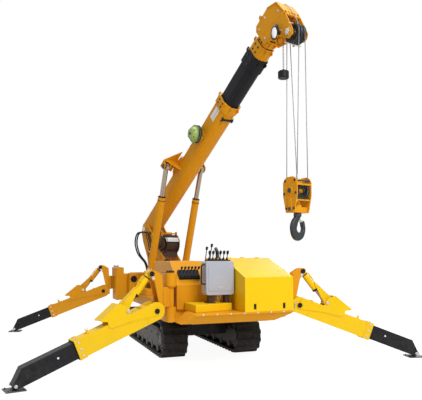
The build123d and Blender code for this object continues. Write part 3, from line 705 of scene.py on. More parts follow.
def post_place(leg):
    """Frame of a leg's bracket: X outwards and Y up from the ground below its post."""
    post = joint_at(f"swing_{leg}")
    across = leg_place(leg).to_3x3().col[2]
    return place((post.x, post.y, 0), flat(joint_axis(f"extend_{leg}")), across)


def cylinder_place(leg):
    """Frame of a leg's cylinder: X along it from its upper pin."""
    across = leg_place(leg).to_3x3().col[2]
    return place(joint_at(f"cylinder_tilt_{leg}"), joint_axis(f"cylinder_stroke_{leg}"), across)


TURRET = place((COLUMN.x, COLUMN.y, 0), flat(BOOM_AXIS), BOOM_SIDE)
RAM = place(joint_at("ram_tilt"), joint_axis("ram_stroke"), BOOM_SIDE)


def turn_of(matrix, direction):
    """A local direction, in the row frame."""
    return (matrix.to_3x3() @ Vector(direction)).normalized()


def rise_of(matrix):
    """1 where the local Y axis points upwards, -1 where it points down."""
    return 1 if turn_of(matrix, (0, 1, 0)).z > 0 else -1


def disc(mesh, matrix, centre, radius, low, high, count=28):
    """A round plate about the local Z axis through a point, with a small chamfer on top."""
    shifted = matrix @ Matrix.Translation(Vector((*centre, 0)))
    step = min(0.003, 0.3 * abs(high - low), 0.2 * radius)
    top = high - step if high > low else high + step
    lathe(mesh, shifted, ((low, 0), (low, radius), (top, radius), (high, radius - step), (high, 0)),
          count)


def ring(mesh, matrix, centre, outer, inner, low, high, count=36):
    """A flat ring about the local Z axis."""
    shifted = matrix @ Matrix.Translation(Vector((*centre, 0)))
    lathe(mesh, shifted, ((low, inner), (low, outer), (high, outer), (high, inner), (low, inner)),
          count)


def about(matrix, at, direction):
    """A frame at a local point whose Z runs along a local direction."""
    axis = turn_of(matrix, direction)
    return place(matrix @ Vector(at), axis.orthogonal(), axis)


def arc(centre, radius, start, end, steps, plane=(0, 1)):
    """Points on an arc in two of the three local axes, angles in degrees."""
    points = []
    for n in range(steps + 1):
        angle = radians(start + (end - start) * n / steps)
        point = list(centre)
        point[plane[0]] += radius * cos(angle)
        point[plane[1]] += radius * sin(angle)
        points.append(tuple(point))
    return points


def soft_path(points, bend=0.04, steps=5):
    """A path through corner points with each corner turned into a smooth bend."""
    places = [Vector(p) for p in points]
    result = [places[0]]
    for before, here, after in zip(places, places[1:], places[2:]):
        back = before - here
        on = after - here
        cut = min(bend, 0.45 * back.length, 0.45 * on.length)
        start = here + back.normalized() * cut
        end = here + on.normalized() * cut
        for n in range(steps + 1):
            t = n / steps
            result.append((1 - t) ** 2 * start + 2 * t * (1 - t) * here + t ** 2 * end)
    result.append(places[-1])
    return result


def moved(matrix, points):
    """Local points, in the row frame."""
    return [matrix @ Vector(p) for p in points]


# Forms of the main pieces, in metres

BRACKET_CHEEK = (         # distance out from the post, height
    (0.105, 0.842), (0.138, 0.836), (0.138, 0.736), (0.256, 0.740), (0.302, 0.760), (0.318, 0.802),
    (0.290, 0.858), (0.212, 0.905), (0.270, 1.178), (0.315, 1.242), (0.350, 1.262), (0.361, 1.295),
    (0.348, 1.325), (0.318, 1.336), (0.255, 1.326), (0.160, 1.268), (0.152, 1.110), (0.105, 1.110))
LEG_YOKE = (              # along the leg from its hinge, above its middle
    (0.000, -0.059), (0.000, 0.118), (0.345, 0.118), (0.350, 0.172), (0.368, 0.244), (0.440, 0.298),
    (0.462, 0.306), (0.750, 0.210), (0.742, 0.190), (0.668, 0.158), (0.672, 0.092), (0.650, 0.062),
    (0.360, 0.024))
ROD_GUARD = (             # back from the rod's eye, above the cylinder's axis
    (-0.030, -0.024), (-0.250, 0.014), (-0.327, 0.030), (-0.327, 0.053), (-0.020, 0.104),
    (0.008, 0.060), (0.030, 0.000), (0.008, -0.028))
HEAD_PLATE = (            # from the head's axle: along the boom, above it
    (-0.428, 0.602), (-0.373, 0.668), (-0.060, 0.668), (0.116, 0.552), (0.132, 0.332),
    (0.096, 0.030), (0.078, -0.060), (0.020, -0.096), (-0.052, -0.082), (-0.160, 0.130),
    (-0.428, 0.312))
HEAD_FLANGE = (
    (-0.060, 0.668), (0.116, 0.552), (0.132, 0.332), (0.118, 0.332), (0.102, 0.546),
    (-0.064, 0.655))
BLOCK_SIDE = (            # ahead of the block's middle, below its top
    (-0.062, 0.0), (0.062, 0.0), (0.112, 0.028), (0.142, 0.082), (0.142, 0.262), (0.086, 0.500),
    (-0.086, 0.500), (-0.142, 0.262), (-0.142, 0.082), (-0.112, 0.028))
WHEEL_RADIUS = 0.2277     # idler and drive wheel of a crawler
ROLLER_HEIGHT = 0.1123
YOKE_EYE = (0.372, 0.172) # rod pin in a leg's yoke: along the leg, above its middle
LEG_MOUTH = 1.143         # where an outer leg ends
RAM_OFFSET = 0.376        # a luffing ram's distance from the middle
DRUM = (0.060, 1.740)     # winch axis: ahead of the column's axis, above the ground
HEAD_PITCH = 0.056        # between the head's sheaves
BLOCK_PITCH = 0.098       # from the hook block's middle to a sheave
COLLAR = 0.017            # how far a collar stands proud of its boom section
SECTION_STEP = 0.017      # half of what one boom section is wider than the next
BOOM_WALL = 0.008


def twin(mesh, matrix, outline, inside, outside):
    """The same plate on both sides of the middle."""
    for flank in (-1, 1):
        prism(mesh, matrix, outline, flank * inside, flank * outside)


def round_bar(mesh, matrix, at, radius, half, count=28):
    """A bar about the local Z axis, to both sides of a local point."""
    bar = about(matrix, at, (0, 0, 1))
    lathe(mesh, bar, ((-half, 0), (-half, radius), (half, radius), (half, 0)), count)


def boom_outline(width, height):
    """Boom profile across the boom: small upper corners, widely rounded lower ones."""
    half_w, half_h, cut, bend = width / 2, height / 2, 0.08 * width, 0.40 * width
    points = [(half_w, half_h - cut), (half_w - cut, half_h), (cut - half_w, half_h),
              (-half_w, half_h - cut)]
    for middle, start in ((bend - half_w, 180), (half_w - bend, 270)):
        points += [(middle + bend * cos(radians(start + 15 * n)),
                    bend - half_h + bend * sin(radians(start + 15 * n))) for n in range(7)]
    return points


def shell(mesh, matrix, outer, inner, low, high):
    """An open tube between two outlines with as many corners."""
    rings = [[mesh.verts.new(matrix @ Vector((x, y, z))) for x, y in outline]
             for outline, z in ((outer, low), (outer, high), (inner, high), (inner, low))]
    count = len(outer)
    for a, b in zip(rings, rings[1:] + rings[:1]):
        for n in range(count):
            m = (n + 1) % count
            mesh.faces.new((a[n], a[m], b[m], b[n]))


SECTION = place(BOOM_FOOT, -BOOM_SIDE, BOOM_AXIS)
RAM_SPAN = (BOOM @ Vector((1.652, 0.148, 0)) - RAM.translation).length
STAGES = (                # body, width, height, start, end, collar, width and height of the next
    ("boom_base", 0.300, 0.330, -0.060, 3.380, 0.150, 0.266, 0.296),
    ("boom_second", 0.266, 0.296, 1.100, 4.060, 0.220, 0.232, 0.262),
    ("boom_third", 0.232, 0.262, 1.300, 4.290, 0.190, 0.198, 0.228),
    ("boom_fourth", 0.198, 0.228, 1.500, 4.490, 0.110, 0.164, 0.194),
)
HEAD_AXLE = BOOM.inverted() @ joint_at("rope_swing")


# Pieces

class CRANE_OT_tracks(bpy.types.Operator):
    """Frames, hub bolts and side covers of the crawlers"""
    bl_idname = "crane.tracks"
    bl_label = "Crawler fittings"

    def execute(self, context):
        for name, side in SIDES:
            low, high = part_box(f"track_frame_{name}")
            belt_low, belt_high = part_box(f"track_{name}")
            axle = (belt_low.z + belt_high.z) / 2
            outer = high.x if side > 0 else low.x
            self.form(name, side, axle)
            self.side_cover(name, side, outer - side * 0.014, low, high, axle)
            self.hubs(name, side, outer, low, high, axle)
        return {"FINISHED"}

    def form(self, name, side, axle):
        """Tapered beam, idler, toothed sprocket and rollers of a crawler."""
        near, far = sorted((side * 0.733, side * 0.443))
        across = place((near, 0, 0), (0, 1, 0), (1, 0, 0))
        front, rear, wide = -1.275, 1.000, far - near
        start, end = front + 0.07, rear - 0.07
        mesh = bmesh.new()
        beam = [(start, 0.19), (start + 0.19, 0.12), (end - 0.19, 0.12), (end, 0.19), (end, 0.35),
                (end - 0.19, 0.42), (start + 0.19, 0.42), (start, 0.35)]
        prism(mesh, across, beam, 0, wide)
        radius = WHEEL_RADIUS
        for inside, outside in ((0.020, 0.050), (wide - 0.050, wide - 0.020)):
            disc(mesh, across, (front, axle), radius, inside, outside, 48)
        disc(mesh, across, (front, axle), 0.150, 0.045, wide - 0.045, 40)
        teeth = []
        for n in range(78):
            depth = (0.0, 0.006, 0.028, 0.032, 0.028, 0.006)[n % 6]
            angle = 2 * pi * n / 78
            reach = radius - depth
            teeth.append((rear + reach * cos(angle), axle + reach * sin(angle)))
        for inside, outside in ((0.020, 0.060), (wide - 0.060, wide - 0.020)):
            prism(mesh, across, teeth, inside, outside)
        disc(mesh, across, (rear, axle), 0.150, 0.045, wide - 0.045, 40)
        for y in (front, rear):
            disc(mesh, across, (y, axle), 0.096, -0.014, wide + 0.014, 40)
        for n in range(6):
            y = (front + rear) / 2 + (n - 2.5) * 0.3504
            disc(mesh, across, (y, ROLLER_HEIGHT), 0.058, -0.007, wide + 0.007, 32)
        for n in (-1, 1):
            disc(mesh, across, ((front + rear) / 2 + n * 0.455, 2 * axle - ROLLER_HEIGHT), 0.058,
                 0.02, wide - 0.02, 32)
        form = piece(f"track_frame_form_{name}", mesh, "chassis", "frame grey")
        soften(form, 0.003)
        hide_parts(f"track_frame_{name}")

    def side_cover(self, name, side, face, low, high, axle):
        """Bolted plate on the outside of a crawler frame."""
        mesh = bmesh.new()
        matrix = place((face, 0, 0), (0, 1, 0), (side, 0, 0))
        sign = rise_of(matrix)
        middle = (low.y + high.y) / 2
        half = (high.y - low.y) / 2 - 0.40
        outline = rounded([(middle - half, sign * (axle - 0.03)), (middle + half,
                                                                   sign * (axle - 0.03)),
                           (middle + half - 0.05, sign * (axle + 0.10)), (middle - half + 0.05,
                                                                          sign * (axle + 0.10))],
                          0.03)
        prism(mesh, matrix, outline, -0.004, 0.007)
        for n in range(6):
            y = middle - half + 0.07 + n * (2 * half - 0.14) / 5
            bolt(mesh, WORLD, (face + side * 0.007, y, axle + 0.035), (side, 0, 0), 0.022)
        soften(piece(f"track_cover_{name}", mesh, "chassis", "frame grey"), 0.002)

    def hubs(self, name, side, outer, low, high, axle):
        """Hub caps with their ring of bolts."""
        mesh = bmesh.new()
        away = Vector((side, 0, 0))
        for y in (low.y + WHEEL_RADIUS, high.y - WHEEL_RADIUS):
            centre = Vector((outer, y, axle))
            matrix = place(centre, (0, 1, 0), away)
            lathe(mesh, matrix, ((-0.01, 0), (-0.01, 0.075), (0.004, 0.075), (0.010, 0.066),
                                 (0.010, 0.030), (0.006, 0.026), (0.006, 0)), 36)
            for y_off, z_off in ring_points(0.155, 9, 0.2):
                bolt(mesh, WORLD, centre + Vector((-side * 0.034, y_off, z_off)), away, 0.022)
        piece(f"track_hubs_{name}", mesh, "chassis", "steel")


class CRANE_OT_legs(bpy.types.Operator):
    """Brackets, outer boxes, cylinders, pins, pads, lines and bolts of the four legs"""
    bl_idname = "crane.legs"
    bl_label = "Leg fittings"

    def execute(self, context):
        for leg in LEGS:
            self.corner(leg)
            self.bracket_form(leg)
            self.outer_form(leg)
            self.cylinder_form(leg)
            self.bracket(leg)
            self.outer(leg)
            self.inner(leg)
            self.cylinder(leg)
        return {"FINISHED"}

    def bracket_form(self, leg):
        """Bracket that turns on the king pin, with its two cheeks."""
        where = post_place(leg)
        hip = where.inverted() @ joint_at(f"lift_{leg}")
        top = where.inverted() @ joint_at(f"cylinder_tilt_{leg}")
        mesh = bmesh.new()
        sleeve = place(where @ Vector((0, 0.836, 0)), turn_of(where, (1, 0, 0)), UP)
        lathe(mesh, sleeve, ((0, 0.035), (0, 0.046), (0.280, 0.046), (0.280, 0.035),
                             (0, 0.035)), 36)
        slab(mesh, where, (0.036, 0.170), (0.842, 1.110), (-0.040, 0.040))
        twin(mesh, where, BRACKET_CHEEK, 0.056, 0.078)
        slab(mesh, where, (0.140, 0.158), (0.754, 1.110), (-0.078, 0.078))
        round_bar(mesh, where, hip, 0.026, 0.115)
        round_bar(mesh, where, top, 0.026, 0.083)
        form = piece(f"bracket_form_{leg}", mesh, f"bracket_{leg}", "amber")
        soften(form, 0.003)
        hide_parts(f"leg_bracket_{leg}")

    def outer_form(self, leg):
        """Outer box with its forked root, mouth band and yoke."""
        where = leg_place(leg)
        mesh = bmesh.new()
        root = [(0.118 * cos(radians(a)), 0.118 * sin(radians(a))) for a in range(90, 271, 10)]
        twin(mesh, where, root + [(0.165, -0.118), (0.165, 0.118)], 0.084, 0.098)
        twin(mesh, where, oblong(0.160, LEG_MOUTH, -0.118, 0.118), 0.090, 0.098)
        slab(mesh, where, (0.100, LEG_MOUTH), (0.110, 0.118), (-0.090, 0.090))
        slab(mesh, where, (0.000, LEG_MOUTH), (-0.118, -0.110), (-0.084, 0.084))
        slab(mesh, where, (0.150, 0.165), (-0.110, 0.110), (-0.090, 0.090))
        twin(mesh, where, oblong(1.048, LEG_MOUTH, -0.128, 0.128), 0.097, 0.108)
        twin(mesh, where, oblong(1.083, 1.142, -0.110, 0.110), 0.0835, 0.091)
        for flank in (-1, 1):
            slab(mesh, where, (1.048, LEG_MOUTH), (flank * 0.117, flank * 0.128), (-0.098, 0.098))
            slab(mesh, where, (1.083, 1.142), (flank * 0.1035, flank * 0.111), (-0.0835, 0.0835))
        twin(mesh, where, LEG_YOKE, 0.097, 0.108)
        prism(mesh, where, ((0.462, 0.306), (0.750, 0.210), (0.746, 0.200), (0.462, 0.294)), -0.098,
              0.098)
        round_bar(mesh, where, (*YOKE_EYE, 0), 0.020, 0.116)
        # Front legs take the paint in painted light, and rear legs the same paint in painted shade
        finish = "yellow" if leg.startswith("front") else "amber"
        form = piece(f"outer_form_{leg}", mesh, f"outer_{leg}", finish)
        soften(form, 0.0035)
        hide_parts(f"leg_outer_{leg}")

    def cylinder_form(self, leg):
        """Cylinder barrel with its eye, and the sheet guard over its rod."""
        where = cylinder_place(leg)
        # Front legs take the paint in painted light, and rear legs the same paint in painted shade
        finish = "yellow" if leg.startswith("front") else "amber"
        mesh = bmesh.new()
        shaft = about(where, (0, 0, 0), (1, 0, 0))
        lathe(mesh, shaft, ((0.012, 0), (0.012, 0.041), (0.014, 0.043), (0.337, 0.043),
                            (0.337, 0.0245), (0.060, 0.0245), (0.060, 0)), 40)
        round_bar(mesh, where, (0, 0, 0), 0.043, 0.050, 36)
        form = piece(f"barrel_form_{leg}", mesh, f"barrel_{leg}", finish)
        soften(form, 0.002)
        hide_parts(f"leg_barrel_{leg}")
        rise = rise_of(where)
        length = (leg_place(leg) @ Vector((*YOKE_EYE, 0)) - where.translation).length
        guard = [(length + x, rise * y) for x, y in ROD_GUARD]
        mesh = bmesh.new()
        twin(mesh, where, guard, 0.047, 0.052)
        roof = [(length - 0.327, rise * 0.049), (length - 0.327, rise * 0.054),
                (length - 0.020, rise * 0.104), (length - 0.020, rise * 0.098)]
        prism(mesh, where, roof, -0.052, 0.052)
        soften(piece(f"rod_guard_{leg}", mesh, f"rod_{leg}", finish), 0.0015)

    def corner(self, leg):
        """Lugs on the frame that hold the king pin."""
        post = joint_at(f"swing_{leg}")
        side, end = (1 if post.x > 0 else -1), (1 if post.y > 0 else -1)
        mesh = bmesh.new()
        arm = sorted((end * 1.718, post.y))
        for low, high, radius in ((0.690, 0.8357, 0.074), (1.1163, 1.2883, 0.084)):
            slab(mesh, WORLD, (post.x - 0.072, post.x + 0.072), arm, (low, high))
            sleeve = place((post.x, post.y, low), (1, 0, 0), UP)
            lathe(mesh, sleeve, ((0, 0), (0, radius), (high - low, radius), (high - low, 0)), 40)
        slab(mesh, WORLD, (side * 0.742, side * 0.886), (end * 1.700, end * 1.925), (1.150, 1.2883))
        slab(mesh, WORLD, (side * 0.742, side * 0.903), (end * 1.697, end * 1.925), (1.1003, 1.166))
        pin = place((post.x, post.y, 0.83), (1, 0, 0), UP)
        lathe(mesh, pin, ((0, 0), (0, 0.034), (0.295, 0.034), (0.295, 0)), 28)
        soften(piece(f"corner_{leg}", mesh, "chassis", "amber"), 0.004)

    def bracket(self, leg):
        where = post_place(leg)
        hip = where.inverted() @ joint_at(f"lift_{leg}")
        top = where.inverted() @ joint_at(f"cylinder_tilt_{leg}")
        mesh = bmesh.new()
        for flank in (-1, 1):
            axis = turn_of(where, (0, 0, flank))
            pin_head(mesh, where, (hip.x, hip.y, flank * 0.114), (0, 0, flank), 0.034, 0.012)
            pin_head(mesh, where, (top.x, top.y, flank * 0.082), (0, 0, flank), 0.034, 0.014)
        piece(f"bracket_pins_{leg}", mesh, f"bracket_{leg}", "black")
        mesh = bmesh.new()
        for flank in (-1, 1):
            keeper = rounded([(top.x - 0.045, top.y - 0.075), (top.x - 0.015, top.y - 0.085),
                              (top.x + 0.012, top.y - 0.030), (top.x - 0.022, top.y - 0.020)],
                             0.006)
            prism(mesh, where, keeper, flank * 0.077, flank * 0.084)
            bolt(mesh, where, (top.x - 0.028, top.y - 0.064, flank * 0.084), (0, 0, flank), 0.016)
        handle = [(0.183, 0.760, 0.078), (0.183, 0.760, 0.110), (0.183, 0.835, 0.118),
                  (0.215, 0.835, 0.112)]
        tube(mesh, moved(where, soft_path(handle, 0.02)), 0.007)
        disc(mesh, where, (0.183, 0.760), 0.020, 0.076, 0.092)
        piece(f"bracket_keepers_{leg}", mesh, f"bracket_{leg}", "zinc")
        mesh = bmesh.new()
        cap = place(where @ Vector((0, 1.3003, 0)), flat(turn_of(where, (1, 0, 0))), UP)
        lathe(mesh, cap, ((-0.002, 0), (-0.002, 0.058), (0.008, 0.058), (0.012, 0.054), (0.012, 0)),
              36)
        for x, y in ring_points(0.042, 4, pi / 4):
            bolt(mesh, cap, (x, y, 0.012), (0, 0, 1), 0.018)
        piece(f"king_pin_cap_{leg}", mesh, "chassis", "black")

    def outer(self, leg):
        where = leg_place(leg)
        body = f"outer_{leg}"
        # Front legs take the paint in painted light, and rear legs the same paint in painted shade
        finish = "yellow" if leg.startswith("front") else "amber"
        mesh = bmesh.new()
        for flank in (-1, 1):
            axis = turn_of(where, (0, 0, flank))
            pin_head(mesh, where, (*YOKE_EYE, flank * 0.119), (0, 0, flank), 0.024, 0.009)
            for n in (-0.085, 0.0, 0.085):
                bolt(mesh, where, (1.094, n, flank * 0.108), (0, 0, flank), 0.018)
        for across in (-0.06, 0.06):
            bolt(mesh, where, (1.094, 0.128, across), (0, 1, 0), 0.018)
        piece(f"leg_bolts_{leg}", mesh, body, "zinc")
        mesh = bmesh.new()
        for flank in (-1, 1):
            slab(mesh, where, (1.139, 1.150), (-0.109, 0.109), (flank * 0.0835, flank * 0.098))
            slab(mesh, where, (1.139, 1.150), (flank * 0.1035, flank * 0.118), (-0.083, 0.083))
        soften(piece(f"leg_wear_pads_{leg}", mesh, body, "black plastic"), 0.002)
        mesh = bmesh.new()
        for flank in (-1, 1):
            strip = [(0.36, 0.012), (0.67, 0.050), (0.70, 0.060), (0.70, 0.052), (0.67, 0.040),
                     (0.36, 0.003)]
            prism(mesh, where, strip, flank * 0.097, flank * 0.101)
        slab(mesh, where, (0.165, 0.180), (0.116, 0.130), (-0.080, 0.080))
        pin = about(where, (0.92, 0.118, 0), (0, 1, 0))
        lathe(mesh, pin, ((-0.002, 0), (-0.002, 0.030), (0.010, 0.030), (0.012, 0.016),
                          (0.040, 0.016), (0.043, 0.012), (0.043, 0)), 24)
        piece(f"leg_trim_{leg}", mesh, body, finish)
        mesh = bmesh.new()
        grip = arc((0.92, 0.172, 0), 0.016, 0, 360, 16)
        tube(mesh, moved(where, grip), 0.0035, 8, False)
        piece(f"leg_pin_ring_{leg}", mesh, body, "zinc")

    def inner(self, leg):
        where = leg_place(leg)
        body = f"inner_{leg}"
        mesh = bmesh.new()
        for flank in (-1, 1):
            disc(mesh, where, (1.374, 0.018), 0.013, flank * 0.082, flank * 0.0845)
        piece(f"leg_mark_{leg}", mesh, body, "pale")
        low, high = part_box(f"foot_pad_{leg}")
        centre = Vector(((low.x + high.x) / 2, (low.y + high.y) / 2, 0.058))
        across = turn_of(where, (0, 0, 1))
        mesh = bmesh.new()
        for flank in (-1, 1):
            pin_head(mesh, WORLD, centre + across * flank * 0.089, across * flank, 0.021, 0.008)
        loop = place(centre + across * 0.101, UP, across)
        tube(mesh, moved(loop, arc((0, -0.018, 0), 0.018, 0, 360, 16)), 0.003, 8, False)
        piece(f"pad_pin_{leg}", mesh, body, "zinc")
        mesh = bmesh.new()
        outward = turn_of(post_place(leg), (1, 0, 0))
        for along in (-1, 1):
            for flank in (-1, 1):
                spot = centre + outward * along * 0.086 + across * flank * 0.086
                bolt(mesh, WORLD, (spot.x, spot.y, 0.0142), UP, 0.017)
        piece(f"pad_bolts_{leg}", mesh, body, "steel")

    def cylinder(self, leg):
        where = cylinder_place(leg)
        # Front legs take the paint in painted light, and rear legs the same paint in painted shade
        finish = "yellow" if leg.startswith("front") else "amber"
        mesh = bmesh.new()
        shaft = about(where, (0, 0, 0), (1, 0, 0))
        lathe(mesh, shaft, ((0.322, 0.030), (0.322, 0.0465), (0.349, 0.0465), (0.353, 0.041),
                            (0.353, 0.0265), (0.322, 0.0265)), 36)
        lathe(mesh, shaft, ((0.060, 0.040), (0.060, 0.0475), (0.074, 0.0475), (0.074, 0.040)), 36)
        piece(f"leg_gland_{leg}", mesh, f"barrel_{leg}", "black")
        mesh = bmesh.new()
        rise = rise_of(where)
        for flank, reach in ((-0.018, 0.29), (0.018, 0.20)):
            line = [(0.075, rise * 0.040, flank), (0.075, rise * 0.060, flank),
                    (reach, rise * 0.060, flank), (reach, rise * 0.040, flank)]
            tube(mesh, moved(where, soft_path(line, 0.012)), 0.005, 8)
        slab(mesh, where, (0.14, 0.155), (rise * 0.040, rise * 0.067), (-0.027, 0.027))
        piece(f"leg_line_{leg}", mesh, f"barrel_{leg}", finish)
        mesh = bmesh.new()
        for flank in (-1, 1):
            disc(mesh, where, (0.577, 0), 0.040, flank * 0.0515, flank * 0.060)
        piece(f"guard_washers_{leg}", mesh, f"rod_{leg}", finish)


class CRANE_OT_controls(bpy.types.Operator):
    """Panel, lever rows, cables, feet and valve housing of the operator's place"""
    bl_idname = "crane.controls"
    bl_label = "Control fittings"

    def execute(self, context):
        low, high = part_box("control_box")
        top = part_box("levers")[0].z
        self.panel(low, high, top)
        self.lever_row(low, high, top)
        self.cables(low)
        self.housing()
        return {"FINISHED"}

    def panel(self, low, high, top):
        """Front panel, knobs and feet of the control box."""
        front = place(((low.x + high.x) / 2, low.y, 0), (1, 0, 0), (0, -1, 0))
        up = rise_of(front)
        half = (high.x - low.x) / 2
        base = top - 0.458
        mesh = bmesh.new()
        outline = rounded(oblong(-half + 0.034, half - 0.034, up * (base + 0.055),
                                 up * (top - 0.060)), 0.028)
        prism(mesh, front, outline, -0.002, 0.007)
        panel = piece("control_panel", mesh, "chassis", "box grey")
        soften(panel, 0.0025)
        mesh = bmesh.new()
        for x in (-half + 0.052, half - 0.052):
            for z in (base + 0.073, top - 0.078):
                disc(mesh, front, (x, up * z), 0.007, 0.006, 0.0105)
        slab(mesh, front, (-0.05, 0.05), (up * (base + 0.10), up * (base + 0.112)), (0.005, 0.013))
        for n in range(4):
            z = base + 0.16 + n * 0.03
            slab(mesh, front, (-0.10, 0.10), (up * z, up * (z + 0.004)), (0.005, 0.0085))
        piece("control_panel_screws", mesh, "chassis", "zinc")
        mesh = bmesh.new()
        side = place((high.x, 0, 0), (0, 1, 0), (1, 0, 0))
        for y, z, radius in ((-2.27, top - 0.09, 0.019), (-2.20, top - 0.09, 0.014),
                             (-2.24, top - 0.17, 0.014)):
            disc(mesh, side, (y, z), radius, -0.002, 0.022)
        for x in (-0.345, -0.113):
            slab(mesh, WORLD, (x - 0.020, x + 0.096), (-2.300, -2.160), (0.880, 0.894))
            slab(mesh, WORLD, (x + 0.007, x + 0.069), (-2.287, -2.193), (0.885, 0.990))
        piece("control_knobs", mesh, "chassis", "brown")

    def lever_row(self, low, high, top):
        """Six levers in boots and two taller ones behind them."""
        lean = Vector((0, -0.040, 0.105)).normalized()
        mesh = bmesh.new()
        boots = bmesh.new()
        for n in range(6):
            x = low.x + 0.075 + n * 0.052
            foot = Vector((x, (low.y + high.y) / 2, top + 0.016))
            matrix = place(foot, (1, 0, 0), lean)
            lathe(boots, matrix, ((-0.002, 0), (-0.002, 0.020), (0.008, 0.019), (0.012, 0.015),
                                  (0.018, 0.015), (0.022, 0.011), (0.028, 0.011), (0.036, 0.007),
                                  (0.036, 0)), 20)
            lathe(mesh, matrix, ((-0.01, 0), (-0.01, 0.006), (0.076, 0.006), (0.078, 0.009),
                                 (0.090, 0.016), (0.108, 0.019), (0.124, 0.017), (0.134, 0.009),
                                 (0.136, 0)), 24)
        for x, y, height in ((low.x + 0.05, high.y - 0.02, 0.20),
                             (low.x + 0.12, high.y - 0.01, 0.24)):
            matrix = place((x, y, top), (1, 0, 0), Vector((0.10, -0.12, 1)).normalized())
            lathe(mesh, matrix, ((-0.03, 0), (-0.03, 0.007), (height - 0.05, 0.006),
                                 (height - 0.045, 0.014), (height - 0.01, 0.019), (height, 0.010),
                                 (height, 0)), 20)
        slab(mesh, WORLD, (low.x + 0.036, high.x - 0.036), (low.y + 0.036, high.y - 0.036),
             (top - 0.002, top + 0.016))
        row = piece("lever_knobs", mesh, "chassis", "black plastic")
        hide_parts("levers")
        piece("lever_boots", boots, "chassis", "hose")

    def cables(self, low):
        mesh = bmesh.new()
        for n, (x, y) in enumerate(((-0.20, -2.235), (-0.17, -2.215), (-0.14, -2.200))):
            path = [(x, y, 1.00), (x, y, 0.93), (x - 0.02 * n, y + 0.05, 0.89),
                    (x - 0.05 - 0.02 * n, -2.05, 0.886)]
            tube(mesh, soft_path(path, 0.03), 0.006, 8)
        piece("control_cables", mesh, "chassis", "white cable")
        mesh = bmesh.new()
        hoop = [(low.x + 0.004, -2.29, 1.14), (low.x - 0.055, -2.29, 1.14),
                (low.x - 0.055, -2.29, 1.40), (low.x + 0.004, -2.29, 1.40)]
        tube(mesh, soft_path(hoop, 0.045), 0.010, 12)
        piece("control_hoop", mesh, "chassis", "black plastic")

    def housing(self):
        """Valve bank with its levers, doors and filler cap."""
        low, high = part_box("side_tank")
        slope = place((low.x, low.y, 1.120), (1, 0, 0), Vector((0, -0.32, 0.36)).normalized())
        rise = rise_of(slope)
        bank = bmesh.new()
        knobs = bmesh.new()
        slab(bank, slope, (0.06, 0.36), (rise * 0.10, rise * 0.26), (-0.002, 0.045))
        for n in range(6):
            x = 0.085 + n * 0.050
            disc(bank, slope, (x, rise * 0.13), 0.016, 0.04, 0.062)
            matrix = about(slope, (x, rise * 0.21, 0.045), (0, -rise * 0.25, 1))
            lathe(knobs, matrix, ((-0.01, 0), (-0.01, 0.006), (0.085, 0.006), (0.090, 0.013),
                                  (0.118, 0.018), (0.130, 0.011), (0.132, 0)), 20)
        soften(piece("valve_bank", bank, "chassis", "black"), 0.003)
        piece("valve_levers", knobs, "chassis", "black plastic")
        mesh = bmesh.new()
        side = place((low.x, 0, 0), (0, -1, 0), (-1, 0, 0))
        for y in (-1.50, -1.00):
            outline = rounded(oblong(-y - 0.20, -y + 0.20, 0.86, 1.08), 0.03)
            prism(mesh, side, outline, -0.002, 0.005)
            for x, z in ((-y - 0.17, 0.97), (-y + 0.17, 0.97)):
                bolt(mesh, WORLD, side @ Vector((x, z, 0.005)), (-1, 0, 0), 0.016)
        soften(piece("housing_doors", mesh, "chassis", "amber"), 0.0015)
        mesh = bmesh.new()
        cap = place((low.x + 0.16, high.y - 0.20, high.z), (1, 0, 0), UP)
        lathe(mesh, cap, ((-0.002, 0), (-0.002, 0.055), (0.018, 0.055), (0.024, 0.050),
                          (0.024, 0.020), (0.034, 0.018), (0.034, 0)), 32)
        piece("housing_cap", mesh, "chassis", "black plastic")


